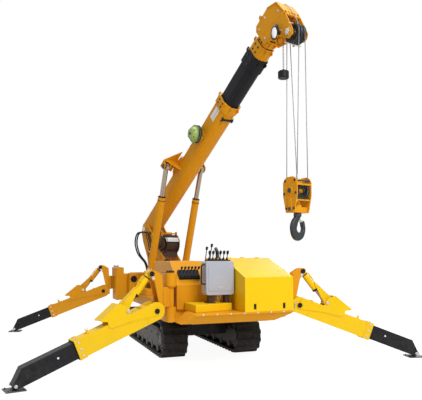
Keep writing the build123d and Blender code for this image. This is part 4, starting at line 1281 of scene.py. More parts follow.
class CRANE_OT_column(bpy.types.Operator):
    """Bolts, pins, winch, rope on its drum and lines of the slewing column"""
    bl_idname = "crane.column"
    bl_label = "Column fittings"

    def execute(self, context):
        self.deck_bolts()
        self.pins()
        self.winch()
        self.lines()
        return {"FINISHED"}

    def deck_bolts(self):
        mesh = bmesh.new()
        for x, y in ring_points(0.365, 20, 0.1):
            bolt(mesh, WORLD, TURRET @ Vector((x, 1.1103, y)), UP, 0.024)
        piece("deck_bolts", mesh, "turret", "zinc")
        mesh = bmesh.new()
        matrix = place((COLUMN.x, COLUMN.y, 0), (1, 0, 0), UP)
        for x, y in ring_points(0.300, 24):
            spot = Vector((COLUMN.x + x * 1.345, COLUMN.y + y * 1.345, 0.9002))
            if abs(spot.x) < 0.49 and abs(spot.y - COLUMN.y) < 0.41:
                bolt(mesh, WORLD, spot, UP, 0.022)
        ring(mesh, matrix, (0, 0), 0.352, 0.328, 0.930, 0.985, 64)
        piece("slewing_ring", mesh, "chassis", "steel")

    def pins(self):
        mesh = bmesh.new()
        trim = bmesh.new()
        foot = TURRET.inverted() @ BOOM_FOOT
        ram = TURRET.inverted() @ joint_at("ram_tilt")
        for flank in (-1, 1):
            axis = turn_of(TURRET, (0, 0, flank))
            pin_head(mesh, TURRET, (foot.x, foot.y, flank * 0.188), (0, 0, flank), 0.050, 0.014)
            pin_head(mesh, TURRET, (ram.x, ram.y, flank * 0.416), (0, 0, flank), 0.052, 0.014)
            keeper = rounded([(foot.x + 0.050, foot.y - 0.085), (foot.x + 0.085, foot.y - 0.050),
                              (foot.x + 0.040, foot.y - 0.015), (foot.x + 0.015, foot.y - 0.040)],
                             0.008)
            prism(mesh, TURRET, keeper, flank * 0.177, flank * 0.190)
            bolt(mesh, TURRET, (foot.x + 0.062, foot.y - 0.062, flank * 0.190), (0, 0, flank),
                 0.020)
            disc(trim, TURRET, (foot.x, foot.y), 0.095, flank * 0.176, flank * 0.185, 40)
            rib = [(-0.36, 1.102), (-0.30, 1.102), (-0.44, 1.62), (-0.47, 1.62)]
            prism(trim, TURRET, rib, flank * 0.176, flank * 0.215)
            rib = [(0.24, 1.102), (0.30, 1.102), (0.30, 1.30), (0.24, 1.34)]
            prism(trim, TURRET, rib, flank * 0.176, flank * 0.240)
        piece("column_pins", mesh, "turret", "zinc")
        soften(piece("column_ribs", trim, "turret", "amber"), 0.003)

    def winch(self):
        """Rope on the drum, its band and shade, the gear case and the press roller."""
        drum = about(TURRET, (*DRUM, 0), (0, 0, 1))
        mesh = bmesh.new()
        for n in range(18):
            along = -0.108 + n * 0.0127
            lathe(mesh, drum, [(along + 0.0062 * cos(a), 0.1365 + 0.0062 * sin(a))
                               for a in (radians(-60 + 40 * k) for k in range(8))], 40)
        piece("winch_rope", mesh, "turret", "brown")
        mesh = bmesh.new()
        band = [(DRUM[0] + r * cos(radians(a)), DRUM[1] + r * sin(radians(a)))
                for r, turns in ((0.178, range(16, 47, 6)), (0.170, range(46, 15, -6)))
                for a in turns]
        prism(mesh, TURRET, band, -0.150, 0.150)
        piece("winch_band", mesh, "turret", "zinc")
        mesh = bmesh.new()
        shade = [(DRUM[0] + r * cos(radians(a)), DRUM[1] + r * sin(radians(a)))
                 for r, turns in ((0.184, range(52, 113, 10)), (0.176, range(112, 51, -10)))
                 for a in turns]
        prism(mesh, TURRET, shade, -0.150, 0.150)
        piece("winch_shade", mesh, "turret", "black")
        mesh = bmesh.new()
        case = place(TURRET @ Vector((*DRUM, 0.178)), flat(BOOM_AXIS), turn_of(TURRET, (0, 0, 1)))
        lathe(mesh, case, ((-0.030, 0), (-0.030, 0.115), (0.020, 0.115), (0.030, 0.102),
                           (0.030, 0.070), (0.060, 0.066), (0.068, 0.056), (0.068, 0)), 40)
        for x, y in ring_points(0.100, 8, 0.2):
            bolt(mesh, WORLD, case @ Vector((x, y, 0.024)), turn_of(TURRET, (0, 0, 1)), 0.016)
        piece("winch_case", mesh, "turret", "brown")
        mesh = bmesh.new()
        for flank in (-1, 1):
            lug = rounded([(0.02, 1.90), (0.10, 1.90), (0.09, 1.985), (0.03, 1.985)], 0.02)
            prism(mesh, TURRET, lug, flank * 0.150, flank * 0.160)
        axis = about(TURRET, (0.060, 1.950, 0), (0, 0, 1))
        lathe(mesh, axis, ((-0.150, 0.012), (0.150, 0.012)), 20)
        lathe(mesh, axis, ((-0.06, 0.0), (-0.06, 0.026), (0.06, 0.026), (0.06, 0.0)), 24)
        piece("rope_press", mesh, "turret", "amber")

    def lines(self):
        """Hydraulic lines up the side of the column."""
        mesh = bmesh.new()
        clamps = bmesh.new()
        for n in range(4):
            out = 0.188 + 0.019 * (n % 2)
            back = -0.10 - 0.035 * n
            path = [(back + 0.10, 1.105, out), (back + 0.06, 1.30, out), (back - 0.12, 1.52, out),
                    (back - 0.22, 1.80, out), (back - 0.30, 1.93, out), (back - 0.24, 1.99, out)]
            tube(mesh, moved(TURRET, soft_path(path, 0.08, 7)), 0.0085, 10)
        for x, z in ((-0.09, 1.33), (-0.28, 1.60)):
            slab(clamps, TURRET, (x - 0.10, x + 0.06), (z - 0.012, z + 0.012), (0.177, 0.217))
        for n in range(2):
            out = 0.205 + 0.026 * n
            back = -0.03 * n
            path = [(-0.50, 1.985, 0.170), (-0.52, 2.00, out + 0.03),
                    (-0.74 + back, 1.99, out + 0.05), (-0.84 + back, 1.80, out + 0.05),
                    (-0.74 + back, 1.56, out + 0.04), (-0.50, 1.38, out), (-0.42, 1.22, out),
                    (-0.40, 1.11, out)]
            tube(mesh, moved(TURRET, soft_path(path, 0.12, 8)), 0.015, 12)
        piece("column_lines", mesh, "turret", "hose")
        soften(piece("column_clamps", clamps, "turret", "zinc"), 0.002)


class CRANE_OT_rams(bpy.types.Operator):
    """Glands, lines, pins and collars of the two luffing rams"""
    bl_idname = "crane.rams"
    bl_label = "Ram fittings"

    def execute(self, context):
        black = bmesh.new()
        lines = bmesh.new()
        pins = bmesh.new()
        pale = bmesh.new()
        for flank in (-1, 1):
            side = flank * RAM_OFFSET
            shaft = about(RAM, (0, 0, side), (1, 0, 0))
            lathe(black, shaft, ((1.405, 0.047), (1.405, 0.064), (1.436, 0.064), (1.442, 0.056),
                                 (1.442, 0.047), (1.405, 0.047)), 40)
            lathe(black, shaft, ((1.355, 0.060), (1.355, 0.0785), (1.361, 0.0785),
                                 (1.361, 0.060)), 40)
            for x, y in ring_points(0.0715, 8):
                bolt(black, WORLD, shaft @ Vector((x, y, 1.4195)), turn_of(RAM, (1, 0, 0)), 0.010)
            for off, reach in ((-0.020, 1.33), (0.020, 0.16)):
                path = [(0.13, 0.062, side + off), (0.13, 0.088, side + off),
                        (0.16, 0.088, side + off), (reach + 0.02, 0.088, side + off),
                        (reach + 0.02, 0.064, side + off)]
                tube(lines, moved(RAM, soft_path(path, 0.018)), 0.007, 10)
            for along in (0.45, 0.85, 1.20):
                slab(lines, RAM, (along, along + 0.02), (0.062, 0.098),
                     (side - 0.032, side + 0.010))
            slab(lines, RAM, (0.10, 0.17), (0.055, 0.080), (side - 0.035, side + 0.035))
            pin_head(pins, RAM, (RAM_SPAN, 0, flank * 0.441), (0, 0, flank), 0.040, 0.012)
            eye = about(RAM, (0, 0, side), (0, 0, flank))
            ring(pale, eye, (0, 0), 0.078, 0.050, 0.028, 0.036, 40)
        piece("ram_glands", black, "ram_barrels", "black")
        piece("ram_lines", lines, "ram_barrels", "amber")
        piece("ram_pins", pins, "ram_rods", "steel")
        piece("ram_rings", pale, "ram_barrels", "pale")
        return {"FINISHED"}


class CRANE_OT_boom(bpy.types.Operator):
    """Boom sections with collars, saddle, wear pads, rollers, trim, lines and cable reel"""
    bl_idname = "crane.boom"
    bl_label = "Boom fittings"

    def execute(self, context):
        for stage in STAGES:
            body, width, height, _, end, collar = stage[:6]
            mouth = end if body == "boom_base" else end + collar
            self.section(*stage, mouth)
            self.mouth(body, mouth, width / 2, height / 2, collar)
        self.base()
        self.reel()
        return {"FINISHED"}

    def section(self, body, width, height, start, end, collar, next_width, next_height, mouth):
        mesh = bmesh.new()
        outer = boom_outline(width, height)
        inner = boom_outline(width - 2 * BOOM_WALL, height - 2 * BOOM_WALL)
        shell(mesh, SECTION, outer, inner, start, end)
        proud = boom_outline(width + 2 * COLLAR, height + 2 * COLLAR)
        shell(mesh, SECTION, proud, boom_outline(width - 0.002, height - 0.002), mouth - collar,
              mouth - 0.012)
        lip = boom_outline(next_width + 0.006, next_height + 0.006)
        shell(mesh, SECTION, proud, lip, mouth - 0.014, mouth)
        if body == "boom_base":
            slab(mesh, BOOM, (start + 0.001, start + 0.200), (-0.155, 0.155), (-0.142, 0.142))
            self.saddle(mesh)
        for flank in (-1, 1):
            ear = flank * width / 3
            tall = height / 2 + COLLAR
            outline = rounded([(mouth - 0.090, tall - 0.010), (mouth, tall - 0.010), (mouth - 0.012,
                                                                                      tall + 0.070),
                               (mouth - 0.072, tall + 0.070)], 0.016)
            prism(mesh, BOOM, outline, ear - 0.008, ear + 0.008)
        finish = "black" if body == "boom_second" else "amber"
        form = piece(f"{body}_form", mesh, body, finish, sharp=30)
        soften(form, 0.003)
        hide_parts(body)

    def saddle(self, mesh):
        """The yoke over the boom that carries the rams' upper pins."""
        eye = BOOM.inverted() @ (RAM @ Vector((RAM_SPAN, 0, 0)))
        roof = eye.y + 0.084
        outline = ((eye.x - 0.190, 0.12), (eye.x - 0.060, roof - 0.012),
                   (eye.x + 0.090, roof - 0.012), (eye.x + 0.330, 0.12))
        prism(mesh, BOOM, outline, -0.167, 0.167)
        deck = place(BOOM @ Vector((0, roof, 0)), BOOM_AXIS, turn_of(BOOM, (0, 1, 0)))
        for flank in (-1, 1):
            wing = [(eye.x - 0.190, flank * 0.161), (eye.x - 0.080, flank * 0.442),
                    (eye.x + 0.090, flank * 0.442), (eye.x + 0.330, flank * 0.161)]
            prism(mesh, deck, wing, -0.012, 0)
            gusset = [(flank * 0.442, roof - 0.006), (flank * 0.161, roof - 0.006),
                      (flank * 0.140, 0.020), (flank * 0.160, 0.0)]
            prism(mesh, SECTION, gusset, eye.x + 0.078, eye.x + 0.090)
            cheek = rounded([(eye.x - 0.080, roof), (eye.x - 0.050, eye.y - 0.030), (eye.x - 0.010,
                                                                                     eye.y - 0.055),
                             (eye.x + 0.040, eye.y - 0.050), (eye.x + 0.084, eye.y - 0.010),
                             (eye.x + 0.084, roof)], 0.016)
            for at in (0.319, 0.436):
                prism(mesh, BOOM, cheek, flank * at - 0.006, flank * at + 0.006)

    def mouth(self, body, mouth, half_width, half_height, collar):
        """Wear pads, bolts, roller and guides at the open end of a section."""
        proud = COLLAR
        inner_w, inner_h = half_width - SECTION_STEP, half_height - SECTION_STEP
        mesh = bmesh.new()
        for flank in (-1, 1):
            slab(mesh, BOOM, (mouth - 0.004, mouth + 0.012), (-inner_h * 0.35, inner_h * 0.8),
                 (flank * (inner_w + 0.001), flank * (half_width + 0.006)))
            slab(mesh, BOOM, (mouth - 0.004, mouth + 0.012),
                 (flank * (inner_h + 0.001), flank * (half_height + 0.006)),
                 (-inner_w * 0.55, inner_w * 0.55))
        soften(piece(f"{body}_wear_pads", mesh, body, "black plastic"), 0.002)
        mesh = bmesh.new()
        for flank in (-1, 1):
            axis = turn_of(BOOM, (0, 0, flank))
            for along in (0.28, 0.72):
                for n in (-0.25, 0.45):
                    spot = BOOM @ Vector((mouth - collar * along, n * half_height,
                                          flank * (half_width + proud)))
                    bolt(mesh, WORLD, spot, axis, 0.020)
            hole = (mouth - 0.044, half_height + proud + 0.048)
            ear = flank * half_width * 2 / 3
            round_bar(mesh, BOOM, (*hole, ear), 0.013, 0.0125, 20)
        for along in (0.3, 0.7):
            spot = BOOM @ Vector((mouth - collar * along, half_height + proud, 0))
            bolt(mesh, WORLD, spot, turn_of(BOOM, (0, 1, 0)), 0.022)
        piece(f"{body}_bolts", mesh, body, "steel")
        mesh = bmesh.new()
        gap = 2 * half_width * 2 / 3 - 0.02
        roller = about(BOOM, (mouth - 0.044, half_height + proud + 0.048, 0), (0, 0, 1))
        lathe(mesh, roller, ((-gap / 2, 0), (-gap / 2, 0.021), (-gap / 2 + 0.006, 0.021),
                             (-gap / 2 + 0.010, 0.015), (gap / 2 - 0.010, 0.015),
                             (gap / 2 - 0.006, 0.021), (gap / 2, 0.021), (gap / 2, 0)), 24)
        piece(f"{body}_roller", mesh, body, "black plastic")
        mesh = bmesh.new()
        for flank in (-1, 1):
            ear = flank * half_width * 0.5
            low = -half_height - proud
            outline = [(mouth - 0.10, low + 0.012), (mouth - 0.005, low + 0.012),
                       (mouth - 0.02, low - 0.034), (mouth - 0.05, low - 0.034)]
            prism(mesh, BOOM, rounded(outline, 0.008), ear - 0.005, ear + 0.005)
        finish = "black" if body == "boom_second" else "amber"
        soften(piece(f"{body}_guides", mesh, body, finish), 0.0015)

    def base(self):
        """Trim, lines and rollers of the base section."""
        mesh = bmesh.new()
        for flank in (-1, 1):
            outline = rounded(oblong(2.96, 3.20, -0.055, 0.075), 0.01)
            prism(mesh, BOOM, outline, flank * 0.1495, flank * 0.1515)
        piece("boom_label", mesh, "boom_base", "pale")
        mesh = bmesh.new()
        for flank in (-1, 1):
            for along in (0.35, 0.90, 2.20):
                outline = oblong(along, along + 0.05, 0.125, 0.135)
                prism(mesh, BOOM, outline, flank * 0.149, flank * 0.156)
            disc(mesh, BOOM, (0, 0), 0.085, flank * 0.1485, flank * 0.1545, 40)
            seam = oblong(0.30, 3.22, -0.012, -0.004)
            prism(mesh, BOOM, seam, flank * 0.149, flank * 0.1515)
            rib = [(1.50, 0.160), (1.62, 0.225), (1.70, 0.225), (1.95, 0.160)]
            prism(mesh, BOOM, rib, flank * 0.166, flank * 0.174)
        piece("boom_trim", mesh, "boom_base", "amber")
        mesh = bmesh.new()
        for flank in (-1, 1):
            axis = turn_of(BOOM, (0, 1, 0))
            for s, lat in ((1.51, 0.17), (1.60, 0.38), (1.72, 0.38), (1.86, 0.17)):
                bolt(mesh, BOOM, (s, 0.232, flank * lat), (0, 1, 0), 0.020)
        piece("saddle_bolts", mesh, "boom_base", "zinc")
        lines = bmesh.new()
        clamps = bmesh.new()
        for n in range(2):
            lift = 0.070 + 0.022 * n
            path = [(0.10, lift, -0.156), (0.60, lift, -0.156), (2.20, lift, -0.156),
                    (2.32, lift + 0.02, -0.156)]
            tube(lines, moved(BOOM, soft_path(path, 0.05)), 0.0065, 10)
        for along in (0.30, 0.90, 1.40, 2.05):
            slab(clamps, BOOM, (along, along + 0.022), (0.056, 0.106), (-0.166, -0.149))
        piece("boom_lines", lines, "boom_base", "hose")
        soften(piece("boom_clamps", clamps, "boom_base", "zinc"), 0.0015)
        mesh = bmesh.new()
        matrix = about(BOOM, (3.12, -0.172, 0), (0, 0, 1))
        lathe(mesh, matrix, ((-0.10, 0), (-0.10, 0.026), (-0.09, 0.026), (-0.085, 0.018),
                             (0.085, 0.018), (0.09, 0.026), (0.10, 0.026), (0.10, 0)), 28)
        for flank in (-1, 1):
            outline = [(3.06, -0.150), (3.18, -0.150), (3.14, -0.190), (3.10, -0.190)]
            prism(mesh, BOOM, rounded(outline, 0.008), flank * 0.100, flank * 0.108)
        piece("boom_roller", mesh, "boom_base", "black plastic")

    def reel(self):
        """Cable reel on the side of the boom."""
        hub = about(BOOM, (2.560, 0.060, 0.150), (0, 0, 1))
        mesh = bmesh.new()
        lathe(mesh, hub, ((0, 0), (0, 0.046), (0.056, 0.046), (0.058, 0.150), (0.062, 0.153),
                          (0.070, 0.153), (0.072, 0.150), (0.074, 0.100), (0.110, 0.100),
                          (0.112, 0.150), (0.116, 0.153), (0.122, 0.153), (0.126, 0.146),
                          (0.126, 0.122), (0.150, 0.118), (0.186, 0.103), (0.198, 0.092),
                          (0.204, 0.080), (0.2065, 0.060), (0.2065, 0)), 64)
        drum = piece("reel_drum", mesh, "boom_base", "reel green", sharp=30)
        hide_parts("cable_reel")
        mesh = bmesh.new()
        for n in range(3):
            lathe(mesh, hub, [(0.080 + 0.011 * n + 0.0052 * cos(a), 0.112 + 0.0052 * sin(a))
                              for a in (radians(45 * k) for k in range(9))], 48)
        piece("reel_cable", mesh, "boom_base", "hose")
        mesh = bmesh.new()
        for radius, low, high in ((0.154, 0.0565, 0.0735), (0.154, 0.1105, 0.1245)):
            ring(mesh, hub, (0, 0), radius, radius - 0.014, low, high, 64)
        for x, y in ring_points(0.105, 6):
            bolt(mesh, WORLD, hub @ Vector((x, y, 0.182)), turn_of(BOOM, (0, 0, 1)), 0.014)
        lathe(mesh, hub, ((0.204, 0), (0.204, 0.026), (0.216, 0.022), (0.216, 0)), 28)
        piece("reel_rims", mesh, "boom_base", "steel")
        mesh = bmesh.new()
        slab(mesh, BOOM, (2.46, 2.66), (-0.06, 0.05), (0.149, 0.157))
        slab(mesh, BOOM, (2.52, 2.60), (-0.06, 0.06), (0.150, 0.190))
        for s in (2.48, 2.64):
            bolt(mesh, BOOM, (s, 0.03, 0.157), (0, 0, 1), 0.018)
            bolt(mesh, BOOM, (s, -0.04, 0.157), (0, 0, 1), 0.018)
        piece("reel_mount", mesh, "boom_base", "amber")


class CRANE_OT_head(bpy.types.Operator):
    """Head plates, sheaves, pins, lamp, rod and the weight of the limit switch"""
    bl_idname = "crane.head"
    bl_label = "Boom head fittings"

    def execute(self, context):
        axle = (HEAD_AXLE.x, HEAD_AXLE.y)
        self.frame(*axle)
        mesh = bmesh.new()
        for n in (-1, 0, 1):
            self.sheave(mesh, BOOM, (*axle, n * HEAD_PITCH), 0.136, 0.038)
        wheels = piece("head_wheels", mesh, "boom_head", "steel")
        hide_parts("head_sheaves")
        mesh = bmesh.new()
        trim = bmesh.new()
        for flank in (-1, 1):
            axis = turn_of(BOOM, (0, 0, flank))
            pin_head(mesh, BOOM, (*axle, flank * 0.160), (0, 0, flank), 0.040, 0.014)
            disc(trim, BOOM, axle, 0.066, flank * 0.149, flank * 0.158, 40)
            for x, y in ring_points(0.050, 6, 0.3):
                bolt(mesh, BOOM, (axle[0] + x, axle[1] + y, flank * 0.158), (0, 0, flank), 0.013)
            for s, n in ((4.62, 0.13), (4.62, -0.08), (4.80, 0.16), (5.03, -0.02), (4.90, -0.30)):
                bolt(mesh, BOOM, (s, n, flank * 0.150), (0, 0, flank), 0.020)
            rib = [(4.600, 0.02), (5.06, -0.13), (5.06, -0.115), (4.600, 0.035)]
            prism(trim, BOOM, rib, flank * 0.149, flank * 0.153)
            lug = rounded([(4.69, 0.22), (4.78, 0.22), (4.755, 0.295), (4.715, 0.295)], 0.012)
            prism(trim, BOOM, lug, flank * 0.138, flank * 0.150)
        for s, n in ((5.064, -0.35), (4.851, -0.495)):
            round_bar(mesh, BOOM, (s, n, 0), 0.011, 0.152, 18)
        piece("head_pins", mesh, "boom_head", "zinc")
        soften(piece("head_trim", trim, "boom_head", "amber"), 0.002)
        self.rollers()
        self.lamp()
        self.weight()
        return {"FINISHED"}

    def frame(self, s, n):
        """The inmost section with the side plates and front flange of the head."""
        mesh = bmesh.new()
        shell(mesh, SECTION, boom_outline(0.164, 0.194), boom_outline(0.148, 0.178), 1.700, 4.640)
        side = [(s + x, n + y) for x, y in HEAD_PLATE]
        twin(mesh, BOOM, rounded(side, 0.018), 0.136, 0.150)
        prism(mesh, BOOM, [(s + x, n + y) for x, y in HEAD_FLANGE], -0.160, 0.160)
        back = s - 0.428
        prism(mesh, BOOM, ((back, 0.12), (back + 0.055, 0.186), (back + 0.070, 0.174),
                           (back + 0.018, 0.100), (back + 0.018, -0.118), (back, -0.118)), -0.136,
              0.136)
        for at in (-0.028, 0.028, -0.084, 0.084):
            slab(mesh, BOOM, (s + 0.112, s + 0.130), (n + 0.270, n + 0.334),
                 (at - 0.016, at + 0.016))
        slab(mesh, BOOM, (s + 0.100, s + 0.128), (n + 0.250, n + 0.274), (-0.150, 0.150))
        round_bar(mesh, BOOM, (s, n, 0), 0.032, 0.162)
        for flank in (-1, 1):
            eye = rounded([(s - 0.20, n + 0.10), (s - 0.14, n + 0.06), (s - 0.17, n + 0.015),
                           (s - 0.22, n + 0.04)], 0.014)
            prism(mesh, BOOM, eye, flank * 0.128, flank * 0.140)
        form = piece("boom_head_form", mesh, "boom_head", "amber", sharp=30)
        soften(form, 0.003)
        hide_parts("boom_head")

    def sheave(self, mesh, matrix, at, radius, width):
        """A rope wheel with a grooved rim and dished sides."""
        hub = about(matrix, at, (0, 0, 1))
        half = width / 2
        lathe(mesh, hub, ((-half, 0.030), (-half, 0.060), (-half + 0.008, 0.064),
                          (-half + 0.008, radius - 0.026), (-half, radius - 0.020),
                          (-half, radius), (-half + 0.006, radius), (-0.0065, radius - 0.013),
                          (0, radius - 0.0155), (0.0065, radius - 0.013), (half - 0.006, radius),
                          (half, radius), (half, radius - 0.020), (half - 0.008, radius - 0.026),
                          (half - 0.008, 0.064), (half, 0.060), (half, 0.030), (-half, 0.030)), 56)

    def rollers(self):
        mesh = bmesh.new()
        for s, n in ((4.931, 0.190), (4.65, 0.200)):
            round_bar(mesh, BOOM, (s, n, 0), 0.022, 0.134, 28)
        piece("head_rollers", mesh, "boom_head", "steel")

    def lamp(self):
        aim = turn_of(BOOM, (-0.35, -0.75, 0.55))
        where = place(BOOM @ Vector((4.860, -0.295, 0.240)), UP, aim)
        base = place(BOOM @ Vector((4.860, -0.280, 0.150)), BOOM_AXIS, turn_of(BOOM, (0, 0, 1)))
        mesh = bmesh.new()
        slab(mesh, base, (-0.016, 0.016), (-0.04, 0.04), (-0.004, 0.060))
        lathe(mesh, where, ((-0.070, 0), (-0.070, 0.045), (-0.050, 0.080), (0.030, 0.098),
                            (0.038, 0.098), (0.038, 0.088), (0.026, 0.082), (0.026, 0)), 36)
        piece("head_lamp", mesh, "boom_head", "black plastic")
        mesh = bmesh.new()
        lathe(mesh, where, ((0.025, 0), (0.025, 0.082), (0.032, 0.070), (0.038, 0.035), (0.040, 0)),
              36)
        piece("head_lamp_glass", mesh, "boom_head", "lamp")
        mesh = bmesh.new()
        lathe(mesh, about(BOOM, (4.75, 0.22, -0.143), (0.2, 1, 0)),
              ((-0.01, 0), (-0.01, 0.014), (0.03, 0.014), (0.032, 0.005), (0.22, 0.0035),
               (0.22, 0)), 16)
        piece("head_rod", mesh, "boom_head", "black plastic")

    def weight(self):
        """Weight of the limit switch on its chain."""
        top = BOOM @ Vector((4.88, -0.35, 0.128))
        mesh = bmesh.new()
        links = 19
        for n in range(links):
            spot = top - UP * (0.020 * n + 0.12)
            turned = BOOM_SIDE if n % 2 else flat(BOOM_AXIS)
            link = place(spot, turned, turned.cross(UP))
            loop = arc((0, 0, 0), 0.012, 0, 360, 14)
            tube(mesh, moved(link, loop), 0.0022, 6, False)
        piece("weight_chain", mesh, "hoist_line", "steel")
        mesh = bmesh.new()
        base = place(top - UP * (0.12 + 0.020 * links + 0.065), (1, 0, 0), UP)
        lathe(mesh, base, ((-0.065, 0), (-0.065, 0.070), (-0.056, 0.078), (0.030, 0.078),
                           (0.040, 0.068), (0.046, 0.020), (0.068, 0.012), (0.068, 0)), 32)
        piece("weight", mesh, "hoist_line", "black")


class CRANE_OT_rigging(bpy.types.Operator):
    """Falls, turns over the sheaves and the hoist rope along the boom"""
    bl_idname = "crane.rigging"
    bl_label = "Ropes"

    def execute(self, context):
        radius = sizes().rope / 2
        axle = joint_at("rope_swing")
        ahead = flat(BOOM_AXIS)
        aside = -BOOM_SIDE
        block = Vector((axle.x, axle.y, 2.420))
        head_turn, block_turn = 0.1235, 0.1095
        falls = ((-1, -1, -1, -1), (0, -1, -1, 1), (-1, 1, 1, -1), (1, 1, 1, 1))
        mesh = bmesh.new()
        for head, head_side, low, low_side in falls:
            upper = axle + aside * head * HEAD_PITCH + ahead * head_side * head_turn
            lower = block + aside * low * BLOCK_PITCH + ahead * low_side * block_turn
            tube(mesh, (upper, lower), radius, 10)
        ropes = new_object("rope_falls", mesh, "rope")
        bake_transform(ropes)
        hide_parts("hoist_ropes")
        for name, body, centre, places, turn, side in (
                ("rope_over_head", "hoist_line", axle, (-HEAD_PITCH, 0, HEAD_PITCH), head_turn, 1),
                ("rope_under_block", "hook", block, (-BLOCK_PITCH, BLOCK_PITCH), block_turn, -1)):
            where = place(centre, ahead, aside)
            rise = side * rise_of(where)
            mesh = bmesh.new()
            for at in places:
                half = [(x, rise * abs(y), z) for x, y, z in arc((0, 0, at), turn, 0, 180, 18)]
                tube(mesh, moved(where, half), radius, 10)
            piece(name, mesh, body, "rope")
        self.along_boom(radius)
        return {"FINISHED"}

    def along_boom(self, radius):
        """Hoist rope from the drum to the head, one stretch for each section."""
        drum = TURRET @ Vector((DRUM[0] - 0.137, DRUM[1], 0))
        guides = [BOOM @ Vector((s, n, 0)) for s, n in
                  ((0.30, 0.180), (3.336, 0.230), (4.236, 0.213), (4.436, 0.210), (4.556, 0.215),
                   (4.650, 0.228))]
        stretches = (("turret", "boom_base", drum, guides[0]),
                     (None, "boom_base", guides[0], guides[1]),
                     ("boom_base", "boom_second", guides[1], guides[2]),
                     ("boom_second", "boom_third", guides[2], guides[3]),
                     ("boom_third", "boom_fourth", guides[3], guides[4]),
                     ("boom_fourth", "boom_head", guides[4], guides[5]))
        for a, b, start, end in stretches:
            mesh = bmesh.new()
            tube(mesh, (start, end), radius, 10)
            if a is None:
                piece(f"boom_rope_{b}", mesh, b, "rope")
                continue
            rope = new_object(f"boom_rope_{a}", mesh, "rope")
            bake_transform(rope)
        mesh = bmesh.new()
        path = [(4.650, 0.228, 0), (4.931, 0.218, 0), (5.00, 0.17, 0), (5.115, 0.10, 0),
                (5.125, -0.12, 0), (5.105, -0.30, 0), (5.085, -0.36, 0)]
        tube(mesh, moved(BOOM, soft_path(path, 0.05)), radius, 10)
        piece("boom_rope_head", mesh, "boom_head", "rope")
        mesh = bmesh.new()
        guide = about(BOOM, (0.30, 0.172, 0), (0, 0, 1))
        lathe(mesh, guide, ((-0.05, 0), (-0.05, 0.018), (-0.042, 0.018), (-0.038, 0.006),
                            (0.038, 0.006), (0.042, 0.018), (0.05, 0.018), (0.05, 0)), 24)
        piece("boom_foot_roller", mesh, "boom_base", "steel")


